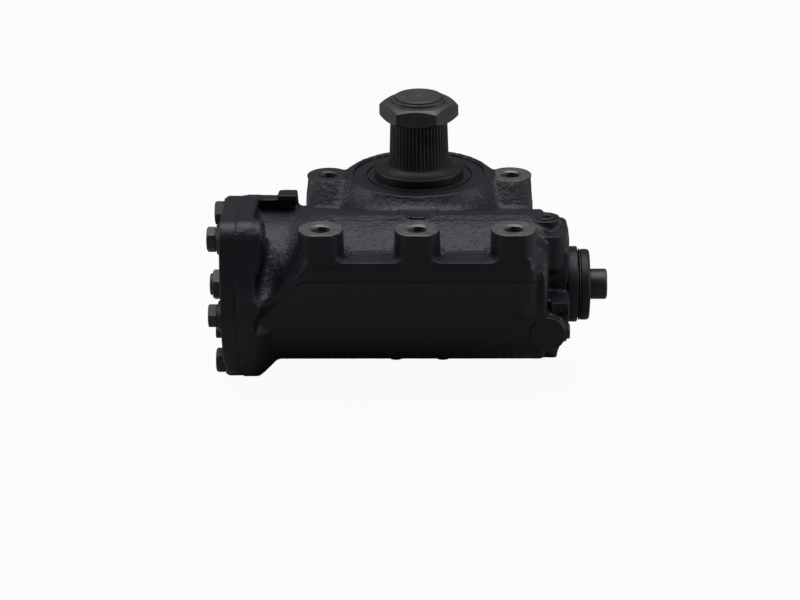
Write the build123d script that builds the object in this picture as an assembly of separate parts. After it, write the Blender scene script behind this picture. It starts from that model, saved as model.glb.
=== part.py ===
"""Recirculating-ball power steering gear for a heavy vehicle, as an assembly of separate pieces.

Frame, in millimetres: the origin is where the axis of the output shaft meets the plane of the
mounting bosses, +Z runs up the output shaft and +X runs along the cylinder towards the input shaft.
"""

from build123d import *
import os
from math import acos, ceil, cos, pi, radians, sin, sqrt, tan

# ---- cylinder and its axis
BORE_Y = -85.0
BORE_Z = -86.4
BORE_R = 60.0
BARREL_R = 75.0
BARREL_LEFT = -175.0
BORE_RIGHT = 100.0
BARREL_RIGHT = 126.0
RUNNING_GAP = 0.06
SEAT_GAP = 0.05
FLAT_GAP = 0.3

# ---- mounting bosses
BOSS_PITCH = 93.0
FRONT_BOSS_Y = -156.0
BOSS_R = 22.0
BOSS_TAPER = 1.5
FRONT_FLAT_Y = -176.0
FRONT_BOSS_HEIGHT = 46.0
REAR_BOSS_HEIGHT = 42.0
MOUNT_HOLE_R = 9.25
MOUNT_HOLE_DEPTH = 38.0
REAR_WEB_THICKNESS = 30.0
REAR_WEB_DROP = 8.0
REAR_WEB_ROOT_R = 48.0
REAR_RIB_WIDTH = 18.0

# ---- deck and shelf between the bosses
DECK_Z = -12.0
DECK_EDGE_Y = -92.0
SHELF_Z = -28.0
SHELF_BOTTOM_Z = -46.0
SHELF_FRONT_Y = -175.0
SHELF_ROOT_Y = -118.0
PAD_LENGTH = 40.0
PAD_WIDTH = 18.0
PAD_Y = -97.0
PAD_HEIGHT = 2.5

# ---- output tower and sector case
TOWER_R = 70.5
TOWER_FOOT_R = 77.0
TOWER_FOOT_Z = -13.0
TOWER_NECK_Z = -48.0
CASE_WALL = 12.0
CASE_PAD_STEP = 6.0
CASE_PAD_HEIGHT = 13.0
COVER_SEAT_DROP = 0.6
CAVITY_R = 54.0
CAVITY_TOP_Z = -57.0
FACE_GROOVE_R = 53.5
FACE_GROOVE_WIDTH = 1.2
FACE_GROOVE_DEPTH = 0.8

# ---- output shaft
JOURNAL_R = 30.6
SHAFT_BOTTOM_LIFT = 4.0
SERRATION_BOTTOM_Z = 14.0
SERRATION_TOP_Z = 60.0
SERRATION_R = 30.35
SERRATION_TAPER = 1.0 / 16.0
SERRATION_TEETH = 48
SERRATION_DEPTH = 1.7
SERRATION_LAND = 0.9
THREAD_R = 24.0
SHAFT_TOP_Z = 84.5
SHAFT_END_CHAMFER = 1.2
CENTRE_HOLE_R = 3.0
CENTRE_HOLE_DEPTH = 5.0

# ---- pitman nut
NUT_FLATS = 70.0
NUT_HEIGHT = 18.5
NUT_CHAMFER = 2.6
NUT_COLLAR_R = 27.6
NUT_COLLAR_HEIGHT = 3.5

# ---- sector and rack teeth
MODULE = 7.5
SECTOR_TEETH_IN_CIRCLE = 12
SECTOR_TEETH = 3
PRESSURE_ANGLE = 25.0
ADDENDUM = 6.75
DEDENDUM = 9.0
BACKLASH = 0.24
SECTOR_WIDTH = 52.0
FLANK_POINTS = 7
TOOTH_TIP_BREAK = 0.6

# ---- tower seals and bearings
NEEDLE_R = 1.9
NEEDLE_COUNT = 36
CUP_WALL = 1.8
TOWER_BEARING_LENGTH = 28.0
TOWER_BEARING_TOP_Z = -18.0
SIDE_BEARING_LENGTH = 27.0
SEAL_R = 40.0
SEAL_LENGTH = 11.5
SEAL_TOP_Z = -4.0
SNAP_RING_R = 42.0
SNAP_RING_WIDTH = 2.0
SNAP_RING_DEPTH = 5.0
SNAP_RING_OPENING = 24.0
DUST_COVER_R = 45.5
DUST_COVER_RIM = 9.0
DUST_COVER_LAND = 3.0
THRUST_WASHER_R = 37.5
THRUST_WASHER_THICKNESS = 2.8

# ---- side cover under the sector
SIDE_COVER_THICKNESS = 10.0
SIDE_COVER_SPIGOT = 10.0
SIDE_BOSS_R = 41.0
SIDE_BOSS_HEIGHT = 32.0
SIDE_FLOOR = 12.0
SIDE_BOLT_EDGE = 9.5
SIDE_BOLT_COUNT = 8
M10_R = 5.0
M10_FLATS = 16.0
M10_HEAD = 6.4
SIDE_BOLT_REACH = 16.0
COVER_RING_R = 1.6

# ---- adjusting screw
ADJUSTER_R = 8.0
ADJUSTER_HEAD_R = 12.0
ADJUSTER_HEAD = 5.0
ADJUSTER_POCKET_R = 15.0
ADJUSTER_POCKET_DEPTH = 9.0
ADJUSTER_NUT_FLATS = 24.0
ADJUSTER_NUT_HEIGHT = 5.6
ADJUSTER_OUT = 6.2
ADJUSTER_SLOT = 2.5
RETAINER_HEIGHT = 2.8

# ---- flange and end cover
FLANGE_R = 92.0
FLANGE_THICKNESS = 26.0
FLANGE_EDGE = 3.0
FLANGE_FLARE = 15.0
EAR_Y = -145.0
EAR_Z = -15.0
EAR_R = 20.0
END_COVER_THICKNESS = 16.5
END_PAD_HEIGHT = 3.0
END_PAD_R = 15.0
END_SPIGOT = 5.0
M14_R = 7.0
M14_FLATS = 22.0
M14_HEAD = 8.8
M14_WASHER = 0.7
END_BOLT_REACH = 24.0
END_BOLT_PLACES = (
    (-59.0, -19.5),
    (EAR_Y, EAR_Z),
    (-160.0, -89.0),
    (-90.0, -165.0),
    (-26.0, -136.0),
    (-10.5, -68.0),
)
STROKE_SCREW_R = 11.0
STROKE_SCREW_OUT = 14.5
STROKE_NUT_FLATS = 30.0
STROKE_NUT_HEIGHT = 6.5
STROKE_SOCKET_R = 5.0
STROKE_SOCKET_DEPTH = 7.0
COVER_PLUG_Y = -105.0
COVER_PLUG_Z = -124.0
COVER_PLUG_R = 6.0
COVER_PLUG_FLATS = 14.0
COVER_PLUG_HEAD = 7.0
COVER_PLUG_REACH = 10.0

# ---- lug behind the flange
LUG_RIGHT = -121.0
LUG_BLOCK_LENGTH = 19.0
LUG_BACK_Y = -38.0
LUG_FRONT_Y = -70.0
LUG_TOP_Z = 4.0
LUG_BAR_TOP_Z = -1.0
LUG_BAR_DEPTH = 14.0

# ---- wall at the right of the barrel
CORNER_LEFT = 98.0
CORNER_RIGHT = 124.0
CORNER_FRONT_Y = -158.0
CORNER_TOP_Z = -16.0
CORNER_R = 14.0

# ---- piston with its rack
PISTON_LEFT = -132.0
PISTON_RIGHT = 60.0
PISTON_BORE_R = 18.5
PISTON_BORE_END = -120.0
PISTON_EDGE = 2.0
RACK_FLAT_LEFT = -66.0
RING_X = -122.0
RING_WIDTH = 7.0
RING_DEPTH = 4.0
GUIDE_POCKET_LENGTH = 78.0
GUIDE_POCKET_WIDTH = 46.0
GUIDE_POCKET_Y = -122.5
BUTTON_R = 8.0
BUTTON_HEIGHT = 3.0

# ---- ball screw
LEAD = 13.5
BALL_R = 4.0
BALL_CIRCLE_R = 17.5
BALLS_PER_TURN = 13
BALL_COUNT = 26
GROOVE_GAP = 0.25
WORM_R = 16.5
WORM_LEFT = -80.0
GROOVE_HALF_LENGTH = 74.0
NUT_GROOVE_HALF_LENGTH = 20.0
GUIDE_R = 5.4
GUIDE_BORE_R = 4.2
GUIDE_BEND_R = 6.0
GUIDE_HALF_SPAN = 20.25
GUIDE_SPREAD = 6.5
GUIDE_TOP_Y = -128.5
CLAMP_THICKNESS = 3.0
CLAMP_LENGTH = 26.0
CLAMP_SCREW_R = 2.5
CLAMP_SCREW_HEAD_R = 4.5
CLAMP_SCREW_HEAD = 3.0
CLAMP_SCREW_REACH = 10.0

# ---- valve end of the housing
VALVE_RIGHT = 149.6
VALVE_CORE_R = 58.0
VALVE_TOP_Z = -20.0
VALVE_TOP_HALF_WIDTH = 26.0
VALVE_BORE_R = 30.0
VALVE_LIP_R = 24.0
VALVE_LIP = 6.0
PORT_X = 126.0
PORT_Y = -105.0
PORT_R = 21.0
PORT_BOTTOM_Z = -66.0
PORT_PLUG_Y = -95.0
PORT_DOME_R = 13.0
PORT_DOME_TOP_Z = -13.5
PORT_PLUG_R = 8.0
PORT_PLUG_DEPTH = 14.0
PORT_SOCKET_FLATS = 8.0
PORT_SOCKET_DEPTH = 7.0
RELIEF_X = 139.8
RELIEF_Z = -89.5
RELIEF_SIDE = 18.0
RELIEF_CORNER = 3.0
RELIEF_FRONT_Y = -150.0
RELIEF_PLUG_R = 6.5
RELIEF_PLUG_DEPTH = 14.0
RELIEF_PLUG_SINK = 2.5
FRONT_PLUG_X = 127.5
FRONT_PLUG_Z = -110.5
FRONT_PLUG_R = 16.5
FRONT_PLUG_FACE_Y = -160.0
FRONT_PLUG_HEAD = 7.0
FRONT_PLUG_THREAD_R = 12.0
FRONT_PLUG_REACH = 16.0
FRONT_BOSS_WALL = 1.0
FOOT_LEFT = 118.0
FOOT_RIGHT = 141.0
FOOT_FRONT_Y = -60.0
FOOT_BACK_Y = -38.0
END_PLUG_ANGLE = 220.0
END_PLUG_CIRCLE_R = 53.0
END_PLUG_SEAT = 145.5
END_PLUG_REACH = 12.0
SPOT_FACE_R = 10.5

# ---- input shaft and valve
WORM_NECK_R = 19.0
WORM_BEARING_WIDTH = 12.0
WORM_BALL_R = 3.4
WORM_BALL_COUNT = 12
WORM_RACE_WALL = 3.2
VALVE_HEAD_RIGHT = 141.0
VALVE_HEAD_FLOOR = 5.0
VALVE_RING_WIDTH = 2.6
VALVE_RING_DEPTH = 2.2
VALVE_RING_COUNT = 3
ROTOR_R = 20.0
ROTOR_SLOTS = 6
ROTOR_SLOT_WIDTH = 5.0
ROTOR_SLOT_DEPTH = 2.5
INPUT_JOURNAL_R = 16.0
INPUT_R = 15.25
INPUT_END = 188.0
INPUT_CHAMFER = 1.5
BAR_R = 5.2
BAR_WAIST_R = 4.2
BAR_LEFT = 84.0
BAR_END_LENGTH = 14.0
BAR_RIGHT = 172.0
PIN_R = 2.0
PIN_INSET = 7.0
INPUT_COVER_R = 38.0
INPUT_COVER_RIGHT = 158.6
INPUT_COVER_EDGE = 1.0
INPUT_COVER_LEFT = 142.0
INPUT_BEARING_LENGTH = 6.5
INPUT_NEEDLE_R = 1.5
INPUT_NEEDLE_COUNT = 28
INPUT_SEAL_R = 23.0
INPUT_SEAL_LENGTH = 6.0
DUST_DISC_R = 37.3
DUST_DISC_LEFT = 160.0
DUST_DISC_RIGHT = 170.0
DUST_DISC_EDGE = 1.5

# ---- sizes that follow from those above
PITCH_R = MODULE * SECTOR_TEETH_IN_CIRCLE / 2
TOOTH_PITCH = pi * MODULE
ROOT_R = PITCH_R - DEDENDUM
TIP_R = PITCH_R + ADDENDUM
CASE_R = CAVITY_R + CASE_WALL
CASE_PAD_R = CASE_R + CASE_PAD_STEP
SIDE_BOLT_CIRCLE_R = CASE_PAD_R - SIDE_BOLT_EDGE
COVER_SEAT_Z = BORE_Z - BARREL_R - COVER_SEAT_DROP
SHAFT_BOTTOM_Z = COVER_SEAT_Z + SHAFT_BOTTOM_LIFT
SIDE_BOSS_TOP_Z = COVER_SEAT_Z + SIDE_BOSS_HEIGHT
SIDE_OUTER_Z = COVER_SEAT_Z - SIDE_COVER_THICKNESS
REST_Z = SIDE_OUTER_Z - M10_HEAD
CUP_R = JOURNAL_R + RUNNING_GAP + 2 * NEEDLE_R + RUNNING_GAP + CUP_WALL
END_PAD_X = BARREL_LEFT - END_COVER_THICKNESS - END_PAD_HEIGHT
WORM_BEARING_LEFT = BORE_RIGHT + VALVE_LIP
VALVE_HEAD_LEFT = WORM_BEARING_LEFT + WORM_BEARING_WIDTH + 2 * FLAT_GAP
BALL_STEP = 2 * pi / BALLS_PER_TURN
BALL_FIRST = -(BALL_COUNT - 1) * BALL_STEP / 2

FROM_START = (Align.CENTER, Align.CENTER, Align.MIN)
CUT_PAST = 1.0


# ---- plain shapes on the assembly's axes
def rod_z(bottom, top, radius, x=0.0, y=0.0):
    """A cylinder along Z between two heights."""
    return Pos(x, y, bottom) * Cylinder(radius, top - bottom, align=FROM_START)


def rod_x(left, right, radius, y=BORE_Y, z=BORE_Z):
    """A cylinder along X between two stations, on the bore axis unless told otherwise."""
    return Pos(left, y, z) * Rot(0, 90, 0) * Cylinder(radius, right - left, align=FROM_START)


def rod_front(back, front, radius, x, z):
    """A cylinder along Y that points to the front, which is -Y."""
    return Pos(x, back, z) * Rot(90, 0, 0) * Cylinder(radius, back - front, align=FROM_START)


def ring_z(bottom, top, outer, inner, x=0.0, y=0.0):
    """A plain ring around a Z axis."""
    return rod_z(bottom, top, outer, x, y) - rod_z(bottom, top, inner, x, y)


def ring_x(left, right, outer, inner):
    """A plain ring around the bore axis."""
    return rod_x(left, right, outer) - rod_x(left, right, inner)


def block(left, right, front, back, bottom, top):
    """A box from its six faces."""
    size = (right - left, back - front, top - bottom)
    return Pos(left, front, bottom) * Box(*size, align=(Align.MIN, Align.MIN, Align.MIN))


def hexagon(flats, height, chamfer=0.0):
    """A hexagonal prism along Z from zero, with its outer corners turned off at the top."""
    prism = extrude(RegularPolygon(flats / 2, 6, major_radius=False), height)
    if chamfer > 0:
        corner_r = flats / sqrt(3)
        cone = Cone(corner_r + height - chamfer / 2, corner_r - chamfer / 2, height, align=FROM_START)
        prism = prism & cone
    return prism


def bolt(radius, flats, head, reach, washer=0.0):
    """A hexagon bolt whose seat is at zero, head up along Z and shank down."""
    shape = Pos(0, 0, washer) * hexagon(flats, head, flats / 10)
    if washer > 0:
        shape += rod_z(0, washer, flats / 2)
    shank = rod_z(-reach, 0, radius)
    return shape + chamfer(shank.faces().sort_by(Axis.Z)[0].edges(), radius / 8)


def turned(points):
    """A solid turned about Z from its half outline, given as radius and height."""
    return revolve(Plane.XZ * make_face(Polyline(points, close=True)), Axis.Z)


def on_bore_axis(shape):
    """Lays a piece made along Z on the bore axis, pointing to +X."""
    return Pos(0, BORE_Y, BORE_Z) * Rot(0, 90, 0) * shape


def around_bore(radius, angle):
    """The Y and Z of a place around the bore axis, with its angle from +Y towards +Z."""
    return BORE_Y + radius * cos(radians(angle)), BORE_Z + radius * sin(radians(angle))


def facing_left(shape, x, y, z):
    """Turns a piece made along Z so that it points to -X."""
    return Pos(x, y, z) * Rot(0, -90, 0) * shape


def facing_right(shape, x, y, z):
    """Turns a piece made along Z so that it points to +X."""
    return Pos(x, y, z) * Rot(0, 90, 0) * shape


# ---- the cast housing
def flange_outline(grow=0.0):
    """The end flange seen along X: a round plate drawn out to the bolt ear."""
    discs = Pos(BORE_Y, BORE_Z) * Circle(FLANGE_R + grow) + Pos(EAR_Y, EAR_Z) * Circle(EAR_R + grow)
    return make_hull(discs.edges())


def flange_plate(left, right, grow=0.0):
    """A plate with the flange outline between two stations."""
    return extrude(Plane(origin=(left, 0, 0), x_dir=(0, 1, 0), z_dir=(1, 0, 0)) * flange_outline(grow),
                   right - left)


def mounting_column(x, y, height):
    """A cast column that narrows slightly towards its top face."""
    spread = height * tan(radians(BOSS_TAPER))
    return Pos(x, y, -height) * Cone(BOSS_R + spread, BOSS_R, height, align=FROM_START)


def front_shelf():
    """The deck that slopes from the tower to the ledge in front, as one extruded section."""
    section = [
        (0.0, DECK_Z),
        (DECK_EDGE_Y, DECK_Z),
        (FRONT_BOSS_Y, SHELF_Z),
        (SHELF_FRONT_Y, SHELF_Z),
        (SHELF_FRONT_Y, SHELF_BOTTOM_Z),
        (FRONT_BOSS_Y, SHELF_BOTTOM_Z),
        (SHELF_ROOT_Y, BORE_Z),
        (0.0, BORE_Z),
    ]
    half = BOSS_PITCH + BOSS_R / 2
    plane = Plane(origin=(-half, 0, 0), x_dir=(0, 1, 0), z_dir=(1, 0, 0))
    return extrude(plane * make_face(Polyline(section, close=True)), 2 * half)


def tower():
    """The output tower, flared into the deck, with the sector case and the cover pad below it."""
    pad_top = COVER_SEAT_Z + CASE_PAD_HEIGHT
    return turned([
        (0, 0),
        (TOWER_R, 0),
        (TOWER_R, -FACE_GROOVE_WIDTH),
        (TOWER_FOOT_R, TOWER_FOOT_Z),
        (TOWER_FOOT_R, TOWER_NECK_Z / 2),
        (CASE_R, TOWER_NECK_Z),
        (CASE_R, pad_top),
        (CASE_PAD_R, pad_top),
        (CASE_PAD_R, COVER_SEAT_Z),
        (0, COVER_SEAT_Z),
    ])


def rear_web(side):
    """The web and the rib that carry one rear boss from the tower and the barrel."""
    top = -REAR_WEB_DROP
    outline = Pos(side * BOSS_PITCH, 0) * Circle(BOSS_R - 2) + Circle(REAR_WEB_ROOT_R)
    web = extrude(Plane.XY.offset(top - REAR_WEB_THICKNESS) * make_hull(outline.edges()), REAR_WEB_THICKNESS)
    rib_x = side * BOSS_PITCH - REAR_RIB_WIDTH / 2
    rib_side = [
        (BOSS_R / 2, top),
        (BOSS_R / 2, -REAR_BOSS_HEIGHT),
        (BORE_Y + BARREL_R / 2, BORE_Z),
        (BORE_Y, top - REAR_WEB_THICKNESS),
        (BORE_Y + BARREL_R / 2, DECK_Z + top),
    ]
    plane = Plane(origin=(rib_x, 0, 0), x_dir=(0, 1, 0), z_dir=(1, 0, 0))
    return web + extrude(plane * make_face(Polyline(rib_side, close=True)), REAR_RIB_WIDTH)


def flange_lug():
    """The block and the bar that brace the flange behind the barrel."""
    left = LUG_RIGHT - LUG_BLOCK_LENGTH
    lug = block(left, LUG_RIGHT, LUG_FRONT_Y, LUG_BACK_Y, BORE_Z + BORE_R, LUG_TOP_Z)
    lug = fillet(lug.edges().filter_by(Axis.Z), BOSS_R / 5)
    bar_front = LUG_BACK_Y - LUG_BAR_DEPTH
    return lug + block(BARREL_LEFT + FLANGE_THICKNESS, left, bar_front, LUG_BACK_Y, BORE_Z + BORE_R, LUG_BAR_TOP_Z)


def corner_wall():
    """The upright wall that closes the barrel beside the valve housing, with a round corner."""
    wall = block(CORNER_LEFT, CORNER_RIGHT, CORNER_FRONT_Y, BORE_Y, BORE_Z, CORNER_TOP_Z)
    edge = wall.edges().filter_by(Axis.Z).sort_by(Axis.Y)[:2].sort_by(Axis.X)[-1]
    return fillet(edge, CORNER_R)


def housing():
    """The main casting: barrel, flange, tower, deck, bosses and their cuts."""
    flange_right = BARREL_LEFT + FLANGE_THICKNESS
    flange = flange_plate(BARREL_LEFT, flange_right)
    body = rod_x(BARREL_LEFT, BARREL_RIGHT, BARREL_R) + flange
    body += on_bore_axis(Pos(0, 0, flange_right) * Cone(
        FLANGE_R - FLANGE_EDGE, BARREL_R, FLANGE_FLARE, align=FROM_START))
    body += tower() + front_shelf() + flange_lug() + corner_wall() + valve_end()
    for step in (-1, 0, 1):
        body += mounting_column(step * BOSS_PITCH, FRONT_BOSS_Y, FRONT_BOSS_HEIGHT)
    for side in (-1, 1):
        body += mounting_column(side * BOSS_PITCH, 0, REAR_BOSS_HEIGHT) + rear_web(side)
    body += Pos(0, PAD_Y, DECK_Z - PAD_HEIGHT) * extrude(SlotOverall(PAD_LENGTH, PAD_WIDTH), 2 * PAD_HEIGHT)
    far = 3 * BOSS_PITCH
    body -= block(-far / 2, far / 2, FRONT_FLAT_Y - BOSS_R, FRONT_FLAT_Y, COVER_SEAT_Z, CUT_PAST)

    # bore, valve opening and sector cavity
    body -= rod_x(BARREL_LEFT, BORE_RIGHT, BORE_R)
    body -= rod_x(BORE_RIGHT, VALVE_RIGHT, VALVE_LIP_R)
    body -= rod_x(WORM_BEARING_LEFT, VALVE_RIGHT, VALVE_BORE_R)
    body -= rod_z(COVER_SEAT_Z, CAVITY_TOP_Z, CAVITY_R)
    bearing_bottom = TOWER_BEARING_TOP_Z - TOWER_BEARING_LENGTH
    body -= rod_z(bearing_bottom, SEAL_TOP_Z, CUP_R)
    body -= rod_z(CAVITY_TOP_Z, bearing_bottom, JOURNAL_R + NEEDLE_R)
    body -= rod_z(SEAL_TOP_Z - SEAL_LENGTH, 0, SEAL_R)
    body -= rod_z(SEAL_TOP_Z, SEAL_TOP_Z + SNAP_RING_WIDTH, SNAP_RING_R)
    half_groove = FACE_GROOVE_WIDTH / 2
    body -= ring_z(-FACE_GROOVE_DEPTH, 0, FACE_GROOVE_R + half_groove, FACE_GROOVE_R - half_groove)

    # threaded holes of the bosses and of the covers
    for x, y in mount_places():
        body -= rod_z(-MOUNT_HOLE_DEPTH, 0, MOUNT_HOLE_R, x, y)
    for y, z in END_BOLT_PLACES:
        body -= rod_x(BARREL_LEFT, flange_right - FLAT_GAP, M14_R + SEAT_GAP, y, z)
    for x, y in side_bolt_places():
        body -= rod_z(COVER_SEAT_Z, COVER_SEAT_Z + SIDE_BOLT_REACH + CUT_PAST, M10_R + SEAT_GAP, x, y)
    return body - plug_holes()


def mount_places():
    """The five threaded holes that fasten the gear to the vehicle."""
    front = [(step * BOSS_PITCH, FRONT_BOSS_Y) for step in (-1, 0, 1)]
    return front + [(-BOSS_PITCH, 0.0), (BOSS_PITCH, 0.0)]


def side_bolt_places():
    """The bolt circle of the side cover, turned so that no bolt lies under the barrel's lowest line."""
    step = 360 / SIDE_BOLT_COUNT
    angles = [radians((index + 0.5) * step) for index in range(SIDE_BOLT_COUNT)]
    return [(SIDE_BOLT_CIRCLE_R * cos(a), SIDE_BOLT_CIRCLE_R * sin(a)) for a in angles]


def valve_end():
    """The end around the valve, with its port boss, relief block, front boss and foot."""
    body = rod_x(BARREL_RIGHT, VALVE_RIGHT, VALVE_CORE_R)
    half = VALVE_TOP_HALF_WIDTH
    head = block(BARREL_RIGHT, VALVE_RIGHT, BORE_Y - half, BORE_Y + half, BORE_Z, VALVE_TOP_Z)
    body += fillet(head.edges().filter_by(Axis.X).group_by(Axis.Z)[-1], half / 3)
    body += rod_z(PORT_BOTTOM_Z, VALVE_TOP_Z, PORT_R, PORT_X, PORT_Y)
    body += Pos(PORT_X, PORT_Y, PORT_BOTTOM_Z) * Sphere(PORT_R)
    body += rod_z(BORE_Z + VALVE_BORE_R, PORT_DOME_TOP_Z, PORT_DOME_R, PORT_X, PORT_PLUG_Y)
    relief = Rectangle(RELIEF_SIDE, RELIEF_SIDE)
    relief = extrude(fillet(relief.vertices(), RELIEF_CORNER), BORE_Y - RELIEF_FRONT_Y)
    body += Pos(RELIEF_X, BORE_Y, RELIEF_Z) * Rot(90, 0, 0) * relief
    boss_r = FRONT_PLUG_R - FRONT_BOSS_WALL
    body += rod_front(BORE_Y, FRONT_PLUG_FACE_Y + FRONT_PLUG_HEAD, boss_r, FRONT_PLUG_X, FRONT_PLUG_Z)
    return body + valve_foot()


def valve_foot():
    """The cast foot under the valve end, whose sole is level with the flange and the cover bolts."""
    section = [
        (BORE_Y - VALVE_BORE_R, BORE_Z - VALVE_CORE_R),
        (BORE_Y, BORE_Z - BARREL_R),
        (FOOT_FRONT_Y, REST_Z),
        (FOOT_BACK_Y, REST_Z),
        (FOOT_BACK_Y + M10_R, BORE_Z),
        (BORE_Y, BORE_Z),
    ]
    plane = Plane(origin=(FOOT_LEFT, 0, 0), x_dir=(0, 1, 0), z_dir=(1, 0, 0))
    return extrude(plane * make_face(Polyline(section, close=True)), FOOT_RIGHT - FOOT_LEFT)


def plug_holes():
    """The threaded holes and spot faces of the plugs at the valve end."""
    top = PORT_DOME_TOP_Z
    holes = rod_z(top - PORT_PLUG_DEPTH - CUT_PAST, top, PORT_PLUG_R + SEAT_GAP, PORT_X, PORT_PLUG_Y)
    relief_floor = RELIEF_FRONT_Y + RELIEF_PLUG_SINK + RELIEF_PLUG_DEPTH + CUT_PAST
    holes += rod_front(relief_floor, RELIEF_FRONT_Y, RELIEF_PLUG_R + SEAT_GAP, RELIEF_X, RELIEF_Z)
    front_seat = FRONT_PLUG_FACE_Y + FRONT_PLUG_HEAD
    front_floor = front_seat + FRONT_PLUG_REACH + CUT_PAST
    holes += rod_front(front_floor, front_seat, FRONT_PLUG_THREAD_R + SEAT_GAP, FRONT_PLUG_X, FRONT_PLUG_Z)
    holes += rod_front(front_seat, FRONT_PLUG_FACE_Y, FRONT_PLUG_R + SEAT_GAP, FRONT_PLUG_X, FRONT_PLUG_Z)
    y, z = around_bore(END_PLUG_CIRCLE_R, END_PLUG_ANGLE)
    holes += rod_x(END_PLUG_SEAT, VALVE_RIGHT, SPOT_FACE_R, y, z)
    holes += rod_x(END_PLUG_SEAT - END_PLUG_REACH - CUT_PAST, END_PLUG_SEAT, M10_R + SEAT_GAP, y, z)
    return holes


# ---- end cover
def end_cover():
    """The cover at the closed end, with a pad under each bolt and a boss for the stroke screw."""
    face = BARREL_LEFT - END_COVER_THICKNESS
    cover = flange_plate(face, BARREL_LEFT, -FLANGE_EDGE / 3)
    cover += rod_x(END_PAD_X, face, STROKE_NUT_FLATS / sqrt(3) + END_PAD_HEIGHT)
    outline = flange_plate(END_PAD_X, face, -FLANGE_EDGE / 3)
    for y, z in END_BOLT_PLACES:
        cover += rod_x(END_PAD_X, face, END_PAD_R, y, z) & outline
    cover += rod_x(BARREL_LEFT, BARREL_LEFT + END_SPIGOT, BORE_R - SEAT_GAP)
    cover -= ring_x(BARREL_LEFT + END_SPIGOT / 4, BARREL_LEFT + END_SPIGOT / 4 + 2 * COVER_RING_R,
                    BORE_R, BORE_R - 2 * COVER_RING_R)
    cover -= rod_x(END_PAD_X, BARREL_LEFT + END_SPIGOT, STROKE_SCREW_R + SEAT_GAP)
    cover -= rod_x(face - COVER_PLUG_HEAD, face + COVER_PLUG_REACH + CUT_PAST, COVER_PLUG_R + SEAT_GAP,
                   COVER_PLUG_Y, COVER_PLUG_Z)
    for y, z in END_BOLT_PLACES:
        cover -= rod_x(END_PAD_X, BARREL_LEFT, M14_R + FLAT_GAP, y, z)
    return cover


def end_cover_bolts():
    """The M14 bolts that clamp the end cover."""
    reach = BARREL_LEFT - END_PAD_X + END_BOLT_REACH
    piece = bolt(M14_R, M14_FLATS, M14_HEAD, reach, M14_WASHER)
    return Compound([facing_left(piece, END_PAD_X, y, z) for y, z in END_BOLT_PLACES])


def end_cover_seal():
    """The rubber ring in the groove of the end cover's spigot."""
    left = BARREL_LEFT + END_SPIGOT / 4 + SEAT_GAP
    return ring_x(left, left + 2 * COVER_RING_R - 2 * SEAT_GAP, BORE_R - SEAT_GAP, BORE_R - 2 * COVER_RING_R + SEAT_GAP)


def stroke_screw():
    """The screw that stops the piston at the closed end, with a hexagon socket outside."""
    outer = END_PAD_X - STROKE_SCREW_OUT
    inner = BARREL_LEFT + END_SPIGOT
    screw = rod_x(outer, inner, STROKE_SCREW_R)
    screw = chamfer(screw.faces().sort_by(Axis.X)[0].edges(), STROKE_SCREW_R / 10)
    socket = extrude(RegularPolygon(STROKE_SOCKET_R, 6, major_radius=False), STROKE_SOCKET_DEPTH)
    return screw - facing_right(socket, outer, BORE_Y, BORE_Z)


def stroke_locknut():
    """The thin nut that locks the stroke screw."""
    nut = hexagon(STROKE_NUT_FLATS, STROKE_NUT_HEIGHT, STROKE_NUT_FLATS / 15)
    nut -= rod_z(0, STROKE_NUT_HEIGHT, STROKE_SCREW_R + SEAT_GAP)
    return facing_left(nut, END_PAD_X, BORE_Y, BORE_Z)


def cover_plug():
    """The small hexagon plug in the end cover."""
    piece = bolt(COVER_PLUG_R, COVER_PLUG_FLATS, COVER_PLUG_HEAD, COVER_PLUG_REACH)
    return facing_left(piece, BARREL_LEFT - END_COVER_THICKNESS, COVER_PLUG_Y, COVER_PLUG_Z)


# ---- output side
def tooth_half_angle(radius, thickness):
    """Half the angle that an involute tooth covers at a radius, in radians."""
    base_r = PITCH_R * cos(radians(PRESSURE_ANGLE))
    pitch_involute = tan(radians(PRESSURE_ANGLE)) - radians(PRESSURE_ANGLE)
    angle = acos(min(1.0, base_r / radius))
    return thickness / (2 * PITCH_R) + pitch_involute - (tan(angle) - angle)


def sector_tooth(centre):
    """One involute tooth of the sector, around an angle in radians, with a radial foot."""
    thickness = TOOTH_PITCH / 2 - BACKLASH / 2
    base_r = PITCH_R * cos(radians(PRESSURE_ANGLE))
    steps = range(FLANK_POINTS)
    radii = [base_r + (TIP_R - base_r) * step / (FLANK_POINTS - 1) for step in steps]
    right = [Vector(r * cos(centre + a), r * sin(centre + a))
             for r, a in ((r, tooth_half_angle(r, thickness)) for r in radii)]
    left = [Vector(r * cos(centre - a), r * sin(centre - a))
            for r, a in ((r, tooth_half_angle(r, thickness)) for r in radii)]
    foot = tooth_half_angle(base_r, thickness)
    inside = ROOT_R - MODULE
    foot_right = Vector(inside * cos(centre + foot), inside * sin(centre + foot))
    foot_left = Vector(inside * cos(centre - foot), inside * sin(centre - foot))
    tip = Vector(TIP_R * cos(centre), TIP_R * sin(centre))
    outline = [
        Line(foot_right, right[0]),
        Spline(*right),
        ThreePointArc(right[-1], tip, left[-1]),
        Spline(*reversed(left)),
        Line(left[0], foot_left),
        Line(foot_left, foot_right),
    ]
    return make_face(Wire(outline))


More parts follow.
